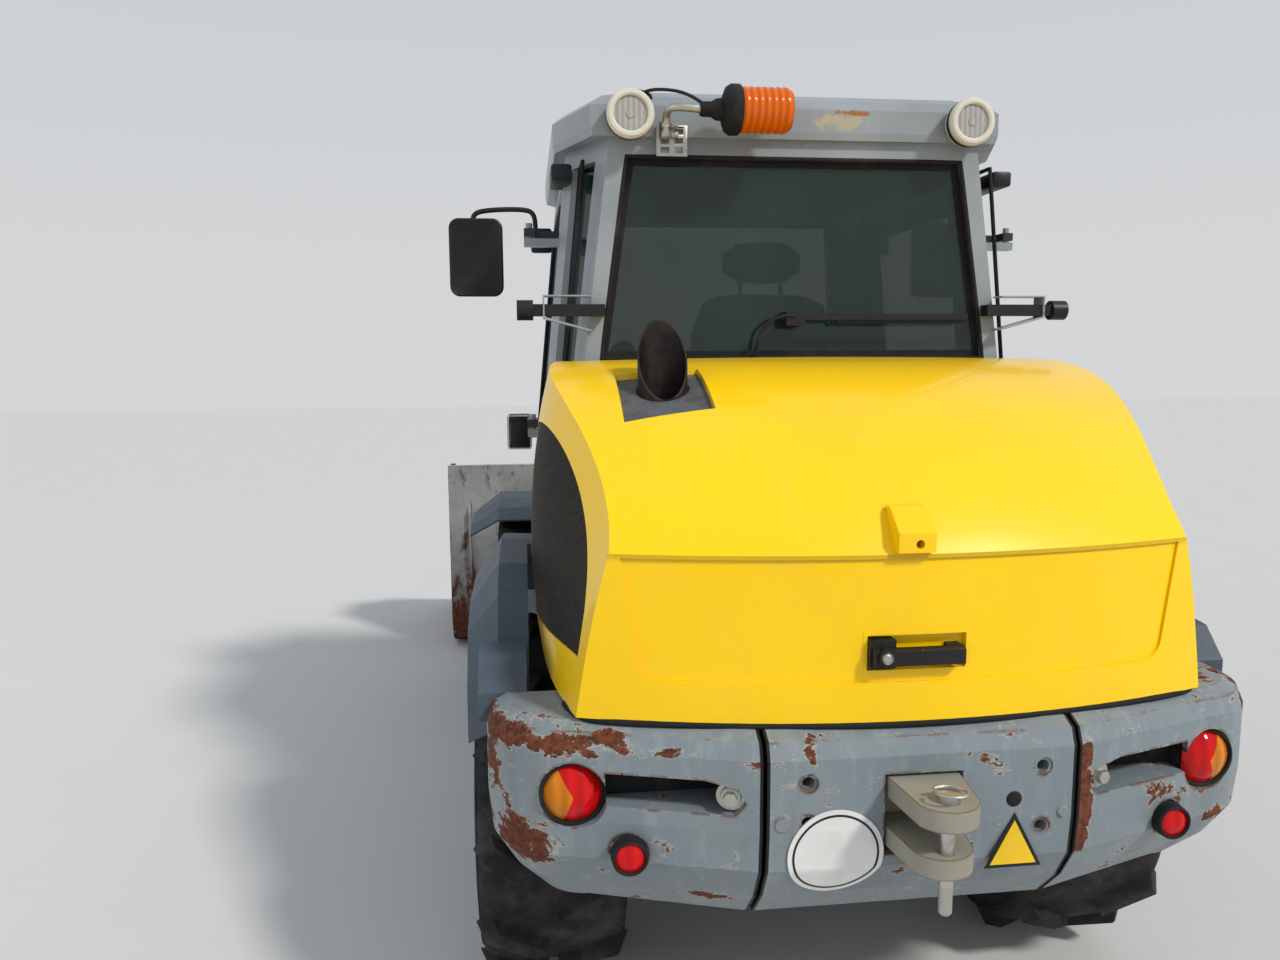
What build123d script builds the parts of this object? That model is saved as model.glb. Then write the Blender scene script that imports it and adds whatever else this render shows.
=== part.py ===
"""Compact wheel loader with a rigid frame, all-wheel steering, a tilting engine hood and a wide bucket.

Frame: X to the right, Y forward, Z up, origin on the ground under the middle of the whole machine.
Every length is in millimetres. Distances "along" the machine are counted forward from the rear face
of the counterweight, and the planes below carry them into the frame.
"""

from math import atan2, cos, degrees, hypot, radians, sin
import os

from build123d import *

# Overall layout, along the machine from the rear face of the counterweight
rear_axle_along = 960
wheelbase = 2100
front_axle_along = rear_axle_along + wheelbase
hitch_reach = 160
bucket_tip_along = 5130
rear_face_y = (hitch_reach - bucket_tip_along) / 2

weight_bolts = [(-240, 902), (-240, 818), (255, 911), (255, 781)]
weight_bolt_seat = 4
weight_bolt_radius = 13
hitch_pin_along = -112
hitch_pin_radius = 14

# Wheels and steering
tyre_radius = 500
track = 1480
kingpin_half_gap = 580
rim_radius = 235
hub_radius = 95

# Frame
plate_out = 220
plate_thick = 30
axle_tube_radius = 75
run_gap = 0.05
door_gap = 7

# Cab, as half widths and positions at the floor, the waist and the roof
cab_rear_along = 970
cab_front_along = 2400
cab_floor_z = 920
cab_arch_z = 1250
cab_waist_z = 1500
cab_roof_z = 2355
roof_top_z = 2490
cab_wall = 40
glass_thick = 6
door_hinge_x = 765
door_hinge_along = 1250

# Hood
hood_front_along = 925
hood_bottom_z = 1008
crease_z = 1355
hood_top_z = 1752
hood_wall = 16
hood_axis_along = 912
hood_axis_z = 1703

panel_recess = 6
beacon_along = 880
beacon_z = 2405
lip_low_x = -62
lip_high_x = 14
pipe_x = -459
pipe_along = 522
pipe_radius = 60

# Counterweight
weight_half = 885
weight_front_along = 335
seam_half = 329
seam_gap = 8
# Sections from below, as (height, inset from the full outline)
weight_sections = [(566, 120), (640, 52), (715, 8), (800, 0), (950, 0), (985, 14), (1000, 44)]
lamp_place = (705, 852)
reflector_place = (593, 739)

# Lift arm and tilt linkage, as (along, height) of each pin
arm_pin = (2500, 1620)
lever_pin = (3150, 1080)
hitch_low_pin = (3830, 280)
lever_length = 300
lever_angle = 83.5
rod_lever_length = 130
rod_lever_angle = 96.5
tilt_base_pin = (2560, 1500)
lift_base_pin = (2700, 480)
lift_eye_pin = (2715, 1248)
arm_inner = 153
arm_thick = 30
lever_plane = 44
link_plane = 68
link_thick = 16
link_half = 18
lever_stub_radius = 30
arm_tube = (3541, 584)
lift_plane = 100

# Bucket
bucket_half = 1250
bucket_back_along = 3925
bucket_height = 1085
bucket_plate = 14
rib_places = (-1130, -640, 640, 1130)
rib_depth = 30

side = Plane(origin=(0, rear_face_y, 0), x_dir=(0, 1, 0), z_dir=(1, 0, 0))
plan = Plane(origin=(0, rear_face_y, 0))
tail = Plane(origin=(0, rear_face_y, 0), x_dir=(1, 0, 0), z_dir=(0, -1, 0))


def polar(start, length, angle):
    """The point at that distance and angle, in degrees, from a start point."""
    return (start[0] + length * cos(radians(angle)), start[1] + length * sin(radians(angle)))


link_rear_pin = polar(lever_pin, lever_length, lever_angle)
hitch_top_pin = polar(hitch_low_pin, lever_length, lever_angle)
rod_pin = polar(lever_pin, rod_lever_length, rod_lever_angle)


def write(part, name):
    """Labels one finished piece and writes it to parts/."""
    part.label = name
    os.makedirs("parts", exist_ok=True)
    export_step(part, f"parts/{name}.step")


def side_plane(x):
    """The side plane moved out to a given X."""
    return side.offset(x)


def slab(outline, x_from, x_to, mode=Mode.ADD):
    """Adds or cuts a plate with a straight-sided outline in side view, between two X positions."""
    with BuildSketch(side_plane(x_from)) as face:
        with BuildLine() as edge:
            Polyline(*outline, close=True)
        make_face(edge.edges())
    extrude(face.sketch, amount=x_to - x_from, mode=mode)


def bar(centre, radius, x_from, x_to, mode=Mode.ADD):
    """Adds or cuts a cylinder along X, centred on a point in side view."""
    with BuildSketch(side_plane(x_from)) as disc:
        with Locations(centre):
            Circle(radius)
    extrude(disc.sketch, amount=x_to - x_from, mode=mode)


def box_between(low, high, mode=Mode.ADD):
    """Adds or cuts a box between two corners given as (x, along, z)."""
    middle = [(a + b) / 2 for a, b in zip(low, high)]
    size = [b - a for a, b in zip(low, high)]
    with Locations((middle[0], middle[1] + rear_face_y, middle[2])):
        Box(*size, mode=mode)


def upright_slab(outline, along_from, along_to, mode=Mode.ADD):
    """Adds, cuts or keeps what lies inside an outline seen from the rear."""
    with BuildSketch(tail.offset(-along_to)) as face:
        with BuildLine() as edge:
            Polyline(*outline, close=True)
        make_face(edge.edges())
    extrude(face.sketch, amount=along_to - along_from, mode=mode)


# Wheels, knuckles and axles
wheel_places = {
    "front_left": (-1, front_axle_along),
    "front_right": (1, front_axle_along),
    "rear_left": (-1, rear_axle_along),
    "rear_right": (1, rear_axle_along),
}
# Tyre, made with flat facets: outer and side hollow sections as (from the middle outward, radius)
tyre_facets = 24
tyre_outer = [(-196, 372), (-186, 442), (-148, 468), (148, 468), (186, 442), (196, 372)]
tyre_hollow = [(196.5, 372), (186, 302), (146, 256), (139, 242)]
lug_count = 12
lug_width = 60
lug_lean = 36
# Lug outline, as (from the middle outward, radius)
lug_outline = [(8, 445), (8, tyre_radius - 4), (168, tyre_radius - 8), (199, 440)]
# Rim section, as (from the middle outward, radius)
rim_section = [(-155, 250), (-155, 218), (-22, 212), (-22, 115), (20, 60), (20, 0), (105, 0), (105, 76),
               (28, 100), (20, 160), (-6, 212), (155, 220), (155, 250), (143, rim_radius),
               (-143, rim_radius)]
rim_hole_radius = 17
rim_hole_ring = 178


# One tyre and one rim in their own axes: x outward along the axle, z up
def facet_loft(sections, mode=Mode.ADD):
    """Adds or cuts a many-sided body through sections given as (from the middle outward, radius)."""
    faces = []
    for x, radius in sections:
        with BuildSketch(Plane.YZ.offset(x)) as ring:
            RegularPolygon(radius, tyre_facets)
        faces.append(ring.sketch)
    loft(faces, ruled=True, mode=mode)


with BuildPart() as lug:
    with BuildSketch(Plane.XZ) as lug_face:
        with BuildLine() as edge:
            Polyline(*lug_outline, close=True)
        make_face(edge.edges())
    extrude(lug_face.sketch, amount=lug_width / 2, both=True)
with BuildPart() as tyre_master:
    facet_loft(tyre_outer)
    for side_sign in (-1, 1):
        facet_loft([(side_sign * x, radius) for x, radius in tyre_hollow], mode=Mode.SUBTRACT)
    with BuildSketch(Plane.YZ.offset(-200)) as bore:
        RegularPolygon(rim_radius, tyre_facets, major_radius=False)
    extrude(bore.sketch, amount=400, mode=Mode.SUBTRACT)
    lean = lug.part.rotate(Axis((100, 0, 0), (0, 0, 1)), lug_lean)
    other = mirror(lean, about=Plane.YZ, mode=Mode.PRIVATE)
    for index in range(lug_count):
        add(lean.rotate(Axis.X, index * 360 / lug_count))
        add(other.rotate(Axis.X, (index + 0.5) * 360 / lug_count))
with BuildPart() as rim_master:
    with BuildSketch(Plane.XZ):
        with BuildLine():
            Polyline(*rim_section, close=True)
        make_face()
    revolve(axis=Axis.X)
    with BuildSketch(Plane.YZ.offset(-60)) as holes:
        with PolarLocations(rim_hole_ring, 8):
            Circle(rim_hole_radius)
    extrude(holes.sketch, amount=160, mode=Mode.SUBTRACT)

for place, (sign, along) in wheel_places.items():
    spot = Location((sign * track / 2, along + rear_face_y, tyre_radius))
    for name, master in (("tyre", tyre_master), ("rim", rim_master)):
        with BuildPart() as placed:
            with Locations(spot):
                add(master.part if sign > 0 else mirror(master.part, about=Plane.YZ, mode=Mode.PRIVATE))
        write(placed.part, f"{name}_{place}")
    with BuildPart() as knuckle:
        # Hub carrier between the kingpin and the rim, with the kingpin stubs above and below
        with BuildSketch(Plane(origin=(sign * kingpin_half_gap, along + rear_face_y, tyre_radius),
                               x_dir=(0, 1, 0), z_dir=(sign, 0, 0))):
            Circle(hub_radius)
        extrude(amount=track / 2 - 20 - run_gap - kingpin_half_gap)
        bar((along, tyre_radius), 50, *sorted((sign * (kingpin_half_gap + 20),
                                               sign * (track / 2 + 20 - run_gap))))
        with Locations((sign * kingpin_half_gap, along + rear_face_y, tyre_radius)):
            Cylinder(62, 220)
            Cylinder(25, 320)
        # Steering arm with the tie rod eye
        with BuildSketch(Plane(origin=(0, along + rear_face_y, tyre_radius - 90))):
            with Locations((sign * kingpin_half_gap, -105 if along > 2000 else 105)):
                Rectangle(36, 150)
        extrude(amount=24)
    write(knuckle.part, f"knuckle_{place}")

for name, along in (("rear_axle", rear_axle_along), ("front_axle", front_axle_along)):
    with BuildPart() as axle:
        bar((along, tyre_radius), axle_tube_radius, -490, 490)
        with Locations((0, along + rear_face_y, tyre_radius)):
            Sphere(165)
        inward = 1 if along < 2000 else -1
        with BuildSketch(Plane(origin=(0, along + rear_face_y, tyre_radius), x_dir=(1, 0, 0),
                               z_dir=(0, inward, 0))):
            Circle(80)
        extrude(amount=230)
        for sign in (-1, 1):
            # C-shaped yoke round the knuckle, above and below
            for level in (-1, 1):
                with Locations((sign * 565, along + rear_face_y, tyre_radius + level * 132)):
                    Box(170, 120, 34)
            with Locations((sign * 490, along + rear_face_y, tyre_radius)):
                Box(30, 90, 290)
            with Locations((sign * kingpin_half_gap, along + rear_face_y, tyre_radius)):
                Cylinder(25 + run_gap, 340, mode=Mode.SUBTRACT)
        # Pads that the frame plates sit on
        for sign in (-1, 1):
            with Locations((sign * 205, along + rear_face_y, tyre_radius + 100)):
                Box(60, 180, 80)
    write(axle.part, name)

with BuildPart() as shaft:
    shaft_start = rear_axle_along + 230
    with BuildSketch(Plane(origin=(0, shaft_start + rear_face_y, tyre_radius), x_dir=(1, 0, 0),
                           z_dir=(0, 1, 0))):
        Circle(45)
    extrude(amount=wheelbase - 460)
write(shaft.part, "drive_shaft")

# Main frame: two side plates, with a front tower for the lift arm
frame_low_z = 640
frame_outline = [(weight_front_along, frame_low_z), (weight_front_along, 930), (900, 930),
                 (1560, cab_floor_z), (2405, cab_floor_z),
                 (2430, 1000), (2430, 1640), (2470, 1690), (2540, 1690), (2572, 1640), (2572, 1260),
                 (2800, 1120),
                 (3140, 1060), (3330, 900), (3400, 800), (3400, frame_low_z), (2830, frame_low_z),
                 (2780, 400), (2640, 400), (2560, 560),
                 (2440, 430), (1580, 430), (1420, frame_low_z)]
with BuildPart() as chassis:
    slab(frame_outline, plate_out - plate_thick, plate_out)
    mirror(about=Plane.YZ)
    for low, high in (((2440, 945), (2465, 1250)), ((1600, 565), (1640, 700)), ((2400, 565), (2440, 760)),
                      ((3340, 645), (3370, 700)), ((1180, 660), (1220, 900))):
        box_between((1 - plate_out, low[0], low[1]), (plate_out - 1, high[0], high[1]))
    box_between((-400, 335, 700), (400, 372, 900))
    bar(lift_base_pin, 28, 66, plate_out)
    bar(lift_base_pin, 28, -plate_out, -66)
    bar(arm_pin, 62, plate_out - plate_thick, plate_out + 14)
    bar(arm_pin, 62, -plate_out - 14, plate_thick - plate_out)
    bar(arm_pin, 32, arm_inner - 8, plate_out)
    bar(arm_pin, 32, -plate_out, 8 - arm_inner)
write(chassis.part, "chassis_frame")

def weight_section(z, inset):
    """The counterweight's full plan outline at one height, drawn in by an inset."""
    with BuildSketch(plan.offset(z)) as level:
        with BuildLine() as edge:
            Line((-seam_half, inset), (seam_half, inset))
            Line((seam_half, inset), (705 - inset * 0.3, 112 + inset))
            ThreePointArc((705 - inset * 0.3, 112 + inset), (845 - inset * 0.8, 188 + inset * 0.7),
                          (weight_half - inset, 300))
            Line((weight_half - inset, 300), (weight_half - inset, weight_front_along))
            Line((weight_half - inset, weight_front_along), (inset - weight_half, weight_front_along))
            Line((inset - weight_half, weight_front_along), (inset - weight_half, 300))
            ThreePointArc((inset - weight_half, 300), (inset * 0.8 - 845, 188 + inset * 0.7),
                          (inset * 0.3 - 705, 112 + inset))
            Line((inset * 0.3 - 705, 112 + inset), (-seam_half, inset))
        make_face(edge.edges())
    return level.sketch


def tail_disc(place, radius, from_along, to_along, mode=Mode.SUBTRACT):
    """Cuts or adds a cylinder along the machine, centred on a point seen from the rear."""
    with BuildSketch(tail.offset(-to_along)) as disc:
        with Locations(place):
            Circle(radius)
    extrude(disc.sketch, amount=to_along - from_along, mode=mode)


# The whole casting, before the seams part it into three
with BuildPart() as casting:
    loft([weight_section(z, inset) for z, inset in weight_sections], ruled=True)

with BuildPart() as weight_center:
    add(casting.part)
    half = seam_half - seam_gap / 2
    box_between((-half, -10, 500), (half, 400, 1100), mode=Mode.INTERSECT)
    # Pocket of the towing jaw, bolt holes and the cable's way behind the plate
    box_between((-82, -1, 738), (82, 120, 912), mode=Mode.SUBTRACT)
    for place in weight_bolts:
        tail_disc(place, weight_bolt_radius, -10, 90)
        tail_disc(place, weight_bolt_radius + 7, -10, weight_bolt_seat)
write(weight_center.part, "counterweight_center")

with BuildPart() as weight_sides:
    add(casting.part)
    start = seam_half + seam_gap / 2
    box_between((start, -10, 500), (1000, 400, 1100), mode=Mode.INTERSECT)
    tail_disc(lamp_place, 70, 0, 190)
    tail_disc(reflector_place, 40, 0, 110)
    # Slot that runs from the lamp towards the middle, with a fixing bolt at its end
    upright_slab([(640, 905), (445, 905), (380, 890), (365, 860), (385, 835), (640, 835)], 0, 150,
                 mode=Mode.SUBTRACT)
    mirror(about=Plane.YZ)
write(weight_sides.part, "counterweight_sides")

# Towing jaw: two lips joined at the back, with a hole for the pin
with BuildPart() as jaw:
    for low, high, reach in ((758, 800, -140), (862, 905, -160)):
        with BuildSketch(plan.offset(low)) as lip:
            with BuildLine() as edge:
                Polyline((-60, reach + 40), (-76, 10), (-76, 120), (76, 120), (76, 10), (60, reach + 40))
                ThreePointArc((60, reach + 40), (0, reach), (-60, reach + 40))
            make_face(edge.edges())
        extrude(lip.sketch, amount=high - low)
    box_between((-76, 62, 800), (76, 120, 862))
    with Locations((0, hitch_pin_along + rear_face_y, 830)):
        Cylinder(hitch_pin_radius + run_gap, 200, mode=Mode.SUBTRACT)
write(jaw.part, "tow_hitch")

with BuildPart() as pin:
    with Locations((0, hitch_pin_along + rear_face_y, 822)):
        Cylinder(hitch_pin_radius, 174)
    with Locations((0, hitch_pin_along + rear_face_y, 914)):
        Cylinder(22, 18)
write(pin.part, "hitch_pin")

# Tail lamps with a domed lens, and round reflectors in their recesses
with BuildPart() as rear_lights:
    for sign in (-1, 1):
        for (x, z), radius, back, dome in ((lamp_place, 64, 190, 26), (reflector_place, 34, 110, 6)):
            face_along = back - 60 if radius > 50 else back - 55
            with BuildSketch(Plane(origin=(sign * x, back + rear_face_y, z), x_dir=(1, 0, 0),
                                   z_dir=(0, -1, 0))) as lens:
                Circle(radius)
            extrude(lens.sketch, amount=back - face_along)
            with BuildSketch(Plane(origin=(sign * x, face_along + rear_face_y, z), x_dir=(1, 0, 0),
                                   z_dir=(0, -1, 0))) as lens:
                Circle(radius - 4)
            extrude(lens.sketch, amount=dome, taper=35)
write(rear_lights.part, "rear_lamps")

with BuildPart() as engine:
    box_between((-215, 345, 930), (215, 880, 1320))
write(engine.part, "engine_block")

with BuildPart() as tanks:
    for sign in (-1, 1):
        inner, outer = sorted((sign * plate_out, sign * 760))
        box_between((inner, 1625, 470), (outer, 2395, 880))
        inner, outer = sorted((sign * 760, sign * 900))
        box_between((inner, 1700, 470), (outer, 2320, 500))
        box_between((inner, 1700, 760), (outer, 2320, 790))
        for along in (1700, 2308):
            box_between((inner, along, 470), (outer, along + 12, 790))
write(tanks.part, "side_tanks")

# Fenders, as the top outline of a bent sheet seen from the side
# Fenders as outer lines in side view, then (across, drop towards the wheel) for each edge of the bent sheet
rear_fender_line = [(425, 880), (455, 1030), (560, 1165), (700, 1218), (1000, 1227), (1300, 1187),
                    (1460, 1092), (1540, 952)]
front_fender_line = [(2640, 1003), (2760, 1040), (2950, 1058), (3200, 1058), (3330, 1036), (3392, 1000)]
rear_fender_bends = [(560, 14), (863, 0), (942, 120)]
front_fender_bends = [(545, 6), (924, 0), (1058, 108)]
fender_sheet = 12


def shrunk(line, along, drop):
    """The line moved towards a wheel's centre by a distance."""
    moved = []
    for y, z in line:
        reach = hypot(y - along, z - tyre_radius)
        moved.append((along + (y - along) * (reach - drop) / reach,
                      tyre_radius + (z - tyre_radius) * (reach - drop) / reach))
    return moved


with BuildPart() as fender_set:
    for line, bends, along in ((rear_fender_line, rear_fender_bends, rear_axle_along),
                               (front_fender_line, front_fender_bends, front_axle_along)):
        for sign in (-1, 1):
            faces = []
            for x, drop in bends:
                outside = shrunk(line, along, drop)
                inside = shrunk(line, along, drop + fender_sheet)
                with BuildSketch(side_plane(sign * x)) as band:
                    with BuildLine() as edge:
                        Polyline(*outside, *reversed(inside), close=True)
                    make_face(edge.edges())
                faces.append(band.sketch)
            loft(faces, ruled=True)
    box_between((-790, 400, 800), (790, hood_front_along + 10, 1300), mode=Mode.SUBTRACT)
    for sign in (-1, 1):
        inner, outer = sorted((sign * 570, sign * 690))
        box_between((inner, 1000, 1180), (outer, 1290, cab_arch_z))
        inner, outer = sorted((sign * plate_out, sign * 560))
        box_between((inner, 2980, 1020), (outer, 3080, 1048))
        # Wing plate that joins the counterweight and the fender
        slab([(weight_front_along, 935), (weight_front_along, 1000), (400, 1070), (470, 1078),
              (500, 1040), (440, 960)],
             *sorted((sign * 796, sign * 905)))
write(fender_set.part, "fenders")


# Cab shell, as plan outlines at the floor, the waist and the roof
def cab_outline(half, chamfer, rear, front, nose, inset):
    """Half-width at the doors, rear corner half-width, rear and front positions, front corner half-width."""
    points = [(chamfer - inset, rear + inset), (half - inset, cab_shoulder_along + inset / 2),
              (half - inset, cab_nose_along - inset / 2), (nose - inset, front - inset)]
    return points + [(-x, y) for x, y in reversed(points)]


cab_shoulder_along = 1240
cab_nose_along = 2240
cab_levels = [
    (cab_floor_z, 735, 645, cab_rear_along, cab_front_along, 660),
    (cab_waist_z, 735, 645, cab_rear_along, cab_front_along, 660),
    (cab_roof_z, 650, 540, 1008, 2330, 560),
]


def cab_prism(inset, mode):
    for lower, upper in zip(cab_levels, cab_levels[1:]):
        faces = []
        for z, half, chamfer, rear, front, nose in (lower, upper):
            with BuildSketch(plan.offset(z)) as level:
                with BuildLine() as edge:
                    Polyline(*cab_outline(half, chamfer, rear, front, nose, inset), close=True)
                make_face(edge.edges())
            faces.append(level.sketch)
        loft(faces, ruled=True, mode=mode)


# Openings of the cab in side view and in rear view, as corner points
door_rear_along = door_hinge_along + 40
door_front_along = cab_front_along - 185
door_outline = [(door_rear_along, 1300), (1560, 1300), (1640, 960), (door_front_along, 960),
                (door_front_along, cab_roof_z - 65), (door_rear_along, cab_roof_z - 65)]
door_window = [(door_rear_along + 90, 1390), (1620, 1390), (1740, 1200), (door_front_along - 85, 1200),
               (door_front_along - 85, cab_roof_z - 135), (door_rear_along + 90, cab_roof_z - 135)]
quarter_front_along = door_hinge_along - 60
quarter_window = [(cab_rear_along + 80, 1360), (quarter_front_along, 1360),
                  (quarter_front_along, cab_roof_z - 55), (cab_rear_along + 95, cab_roof_z - 55)]
rear_window = [(-570, 1740), (570, 1740), (492, 2305), (-492, 2305)]
front_window = [(-590, 1080), (590, 1080), (500, 2290), (-500, 2290)]
wheel_arch = [(900, 900), (1600, 900), (1500, cab_arch_z), (900, cab_arch_z)]


with BuildPart() as cab:
    cab_prism(0, Mode.ADD)
    cab_prism(cab_wall, Mode.SUBTRACT)
    slab([(1560, cab_floor_z), (2395, cab_floor_z), (2395, cab_floor_z + 40), (1560, cab_floor_z + 40)],
         -700, 700)
    slab([(975, cab_arch_z), (1500, cab_arch_z), (1600, cab_floor_z), (1640, cab_floor_z),
          (1530, cab_arch_z + 40),
          (975, cab_arch_z + 40)], -610, 610)
    slab(wheel_arch, -800, 800, mode=Mode.SUBTRACT)
    for outline in (door_outline, quarter_window):
        slab(outline, -900, 900, mode=Mode.SUBTRACT)
    upright_slab(rear_window, 900, 1300, mode=Mode.SUBTRACT)
    upright_slab(front_window, cab_front_along - 150, cab_front_along + 100, mode=Mode.SUBTRACT)
    for sign in (-1, 1):
        near, far = sorted((sign * 395, sign * 420))
        slab([(897, hood_axis_z - 17), (985, hood_axis_z - 30), (985, hood_axis_z + 10),
              (897, hood_axis_z + 9)], near, far)
        bar((hood_axis_along, hood_axis_z), 9, *sorted((sign * 400, sign * 446)))
        for z in (cab_waist_z, cab_waist_z + 580):
            inner, outer = sorted((sign * (700 if z == cab_waist_z else 660), sign * (door_hinge_x + 16)))
            box_between((inner, door_hinge_along - 16, z), (outer, door_hinge_along + 16, z + 24))
            with Locations((sign * door_hinge_x, door_hinge_along + rear_face_y, z + 40)):
                Cylinder(10, 60)
write(cab.part, "cab_frame")

# Roof as plan outlines from below, as (height, inset)
roof_sections = [(cab_roof_z, 6), (cab_roof_z + 20, 0), (2438, 0), (2466, 34), (roof_top_z, 120)]
with BuildPart() as roof:
    faces = []
    for z, inset in roof_sections:
        with BuildSketch(plan.offset(z)) as level:
            with BuildLine() as edge:
                Polyline((-592 + inset, 985 + inset * 0.6), (592 - inset, 985 + inset * 0.6),
                         (690 - inset, 1240 + inset * 0.3),
                         (690 - inset, 2250 - inset * 0.3), (590 - inset, 2410 - inset),
                         (-590 + inset, 2410 - inset),
                         (-690 + inset, 2250 - inset * 0.3), (-690 + inset, 1240 + inset * 0.3), close=True)
            make_face(edge.edges())
        faces.append(level.sketch)
    loft(faces, ruled=True)
write(roof.part, "cab_roof")


# Glass, cut from a thin shell in the middle of the wall
def glass_shell():
    cab_prism(cab_wall - 12 - glass_thick, Mode.ADD)
    cab_prism(cab_wall - 12, Mode.SUBTRACT)


with BuildPart() as pane_outlines:
    upright_slab(rear_window, 900, 1300)
    upright_slab(front_window, cab_front_along - 150, cab_front_along + 100)
    slab(quarter_window, -900, 900)
with BuildPart() as panes:
    glass_shell()
    add(pane_outlines.part, mode=Mode.INTERSECT)
write(panes.part, "cab_windows")

# Seat: pedestal, cushion, leaning back, headrest and armrests, in side view
with BuildPart() as cab_seat:
    box_between((-200, 1650, cab_floor_z + 40), (200, 1920, 1200))
    slab([(1560, 1200), (1960, 1200), (1930, 1300), (1590, 1300)], -150, 150)
    slab([(1500, 1290), (1480, 1370), (1520, 1420), (1900, 1450), (1985, 1425), (1990, 1360),
          (1950, 1290)], -240, 240)
    slab([(1455, 1330), (1555, 1400), (1540, 1560), (1500, 1900), (1470, 1950), (1405, 1955),
          (1385, 1900), (1410, 1560)], -225, 225)
    slab([(1395, 1985), (1460, 1990), (1455, 2100), (1430, 2118), (1395, 2110), (1378, 2060)], -130, 130)
    for sign in (-1, 1):
        bar((1425, 1970), 8, *sorted((sign * 60, sign * 76)))
        box_between((sign * 68 - 8, 1418, 1940), (sign * 68 + 8, 1434, 1995))
        slab([(1450, 1600), (1790, 1640), (1800, 1680), (1770, 1690), (1450, 1650)],
             *sorted((sign * 225, sign * 285)))
write(cab_seat.part, "seat")

with BuildPart() as dash:
    box_between((-160, 2200, cab_floor_z + 40), (160, 2330, 1420))
    slab([(2200, 1300), (2230, 1300), (2122, 1612), (2092, 1600)], -30, 30)
    with BuildSketch(Plane(origin=(0, 2110 + rear_face_y, 1600), x_dir=(1, 0, 0),
                           z_dir=(0, -sin(radians(30)), cos(radians(30))))) as wheel_face:
        Circle(190)
        Circle(165, mode=Mode.SUBTRACT)
        Rectangle(340, 30)
        Circle(50)
    extrude(wheel_face.sketch, amount=24)
write(dash.part, "dash_column")

# Mirrors on bent tubes, with a clamp on the front post
mirror_inner_x = 865
mirror_outer_x = 1080
mirror_along = 2262
mirror_low_z = 1990
mirror_high_z = 2300
mirror_tube = 11
mirror_arm_z = 2332
with BuildPart() as mirror_set:
    for sign in (-1, 1):
        middle = sign * (mirror_inner_x + mirror_outer_x) / 2
        mirror_spot = Plane(origin=(middle, mirror_along + rear_face_y, (mirror_low_z + mirror_high_z) / 2),
                            x_dir=(1, 0, 0), z_dir=(0, 1, 0))
        with BuildSketch(mirror_spot) as shell_face:
            RectangleRounded(mirror_outer_x - mirror_inner_x, mirror_high_z - mirror_low_z, 38)
        extrude(shell_face.sketch, amount=-26)
        extrude(shell_face.sketch, amount=40, taper=32)
        with BuildSketch(mirror_spot.offset(-26)) as glass_recess:
            RectangleRounded(mirror_outer_x - mirror_inner_x - 24, mirror_high_z - mirror_low_z - 24, 28)
        extrude(glass_recess.sketch, amount=6, mode=Mode.SUBTRACT)
        bar((mirror_along - 40, mirror_arm_z), mirror_tube, *sorted((sign * 600, sign * 962)))
        with Locations((sign * 962, mirror_along - 40 + rear_face_y, mirror_arm_z)):
            Sphere(mirror_tube)
        with Locations((sign * 962, mirror_along - 40 + rear_face_y, (mirror_arm_z + 2160) / 2)):
            Cylinder(mirror_tube, mirror_arm_z - 2160)
        box_between((sign * 962 - 20, mirror_along - 50, 2170), (sign * 962 + 20, mirror_along - 20, 2215))
        bar((mirror_along - 40, mirror_arm_z - 24), 34, *sorted((sign * 600, sign * 672)))
    box_between((-700, mirror_along - 90, cab_roof_z), (700, mirror_along + 90, 2500), mode=Mode.SUBTRACT)
    cab_prism(0, Mode.SUBTRACT)
write(mirror_set.part, "mirrors")

# Work lamps, as (half spacing, along of the mounting face, height, direction)
lamp_table = [(487, 985, 2402, -1), (500, 2410, 2400, 1)]
with BuildPart() as lamp_set:
    for half_gap, mount_along, z, way in lamp_table:
        for sign in (-1, 1):
            spot = Plane(origin=(sign * half_gap, mount_along + rear_face_y, z), x_dir=(1, 0, 0),
                         z_dir=(0, way, 0))
            with BuildSketch(spot) as foot:
                Rectangle(36, 30)
            extrude(foot.sketch, amount=20)
            with BuildSketch(spot.offset(18)) as back:
                Circle(64)
            extrude(back.sketch, amount=36)
    for sign in (-1, 1):
        inner, outer = sorted((sign * 620, sign * 790))
        box_between((inner, cab_front_along, 1400), (outer, cab_front_along + 14, 1450))
        inner, outer = sorted((sign * 765, sign * 865))
        box_between((inner, cab_front_along - 40, 1355), (outer, cab_front_along + 60, 1500))
write(lamp_set.part, "work_lamps")

with BuildPart() as beacon_lamp:
    bar((beacon_along, beacon_z), 66, -236, -196)
    bar((beacon_along, beacon_z), 60, -196, -70)
    bar((beacon_along, beacon_z), 50, -70, -54)
    slab([(beacon_along - 16, beacon_z - 16), (beacon_along + 16, beacon_z - 16),
          (beacon_along + 16, beacon_z + 16),
          (beacon_along - 16, beacon_z + 16)], -330, -236)
    box_between((-330, beacon_along - 14, beacon_z - 14), (-302, 985, beacon_z + 14))
write(beacon_lamp.part, "beacon")

with BuildPart() as wiper:
    box_between((-42, 940, 1832), (14, 1010, 1872))
    add(panes.part, mode=Mode.SUBTRACT)
    box_between((-30, 940, 1848), (500, 950, 1866))
    box_between((110, 950, 1838), (505, 962, 1852))
write(wiper.part, "rear_wiper")

with BuildPart() as stops:
    for sign in (-1, 1):
        inner, outer = sorted((sign * 560, sign * 760))
        box_between((inner, 940, 1860), (outer, 986, 1892))
        with BuildSketch(side_plane(sign * 760)) as buffer_face:
            with Locations((957, 1876)):
                Circle(28)
        extrude(buffer_face.sketch, amount=sign * 45)
write(stops.part, "door_stops")

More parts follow.
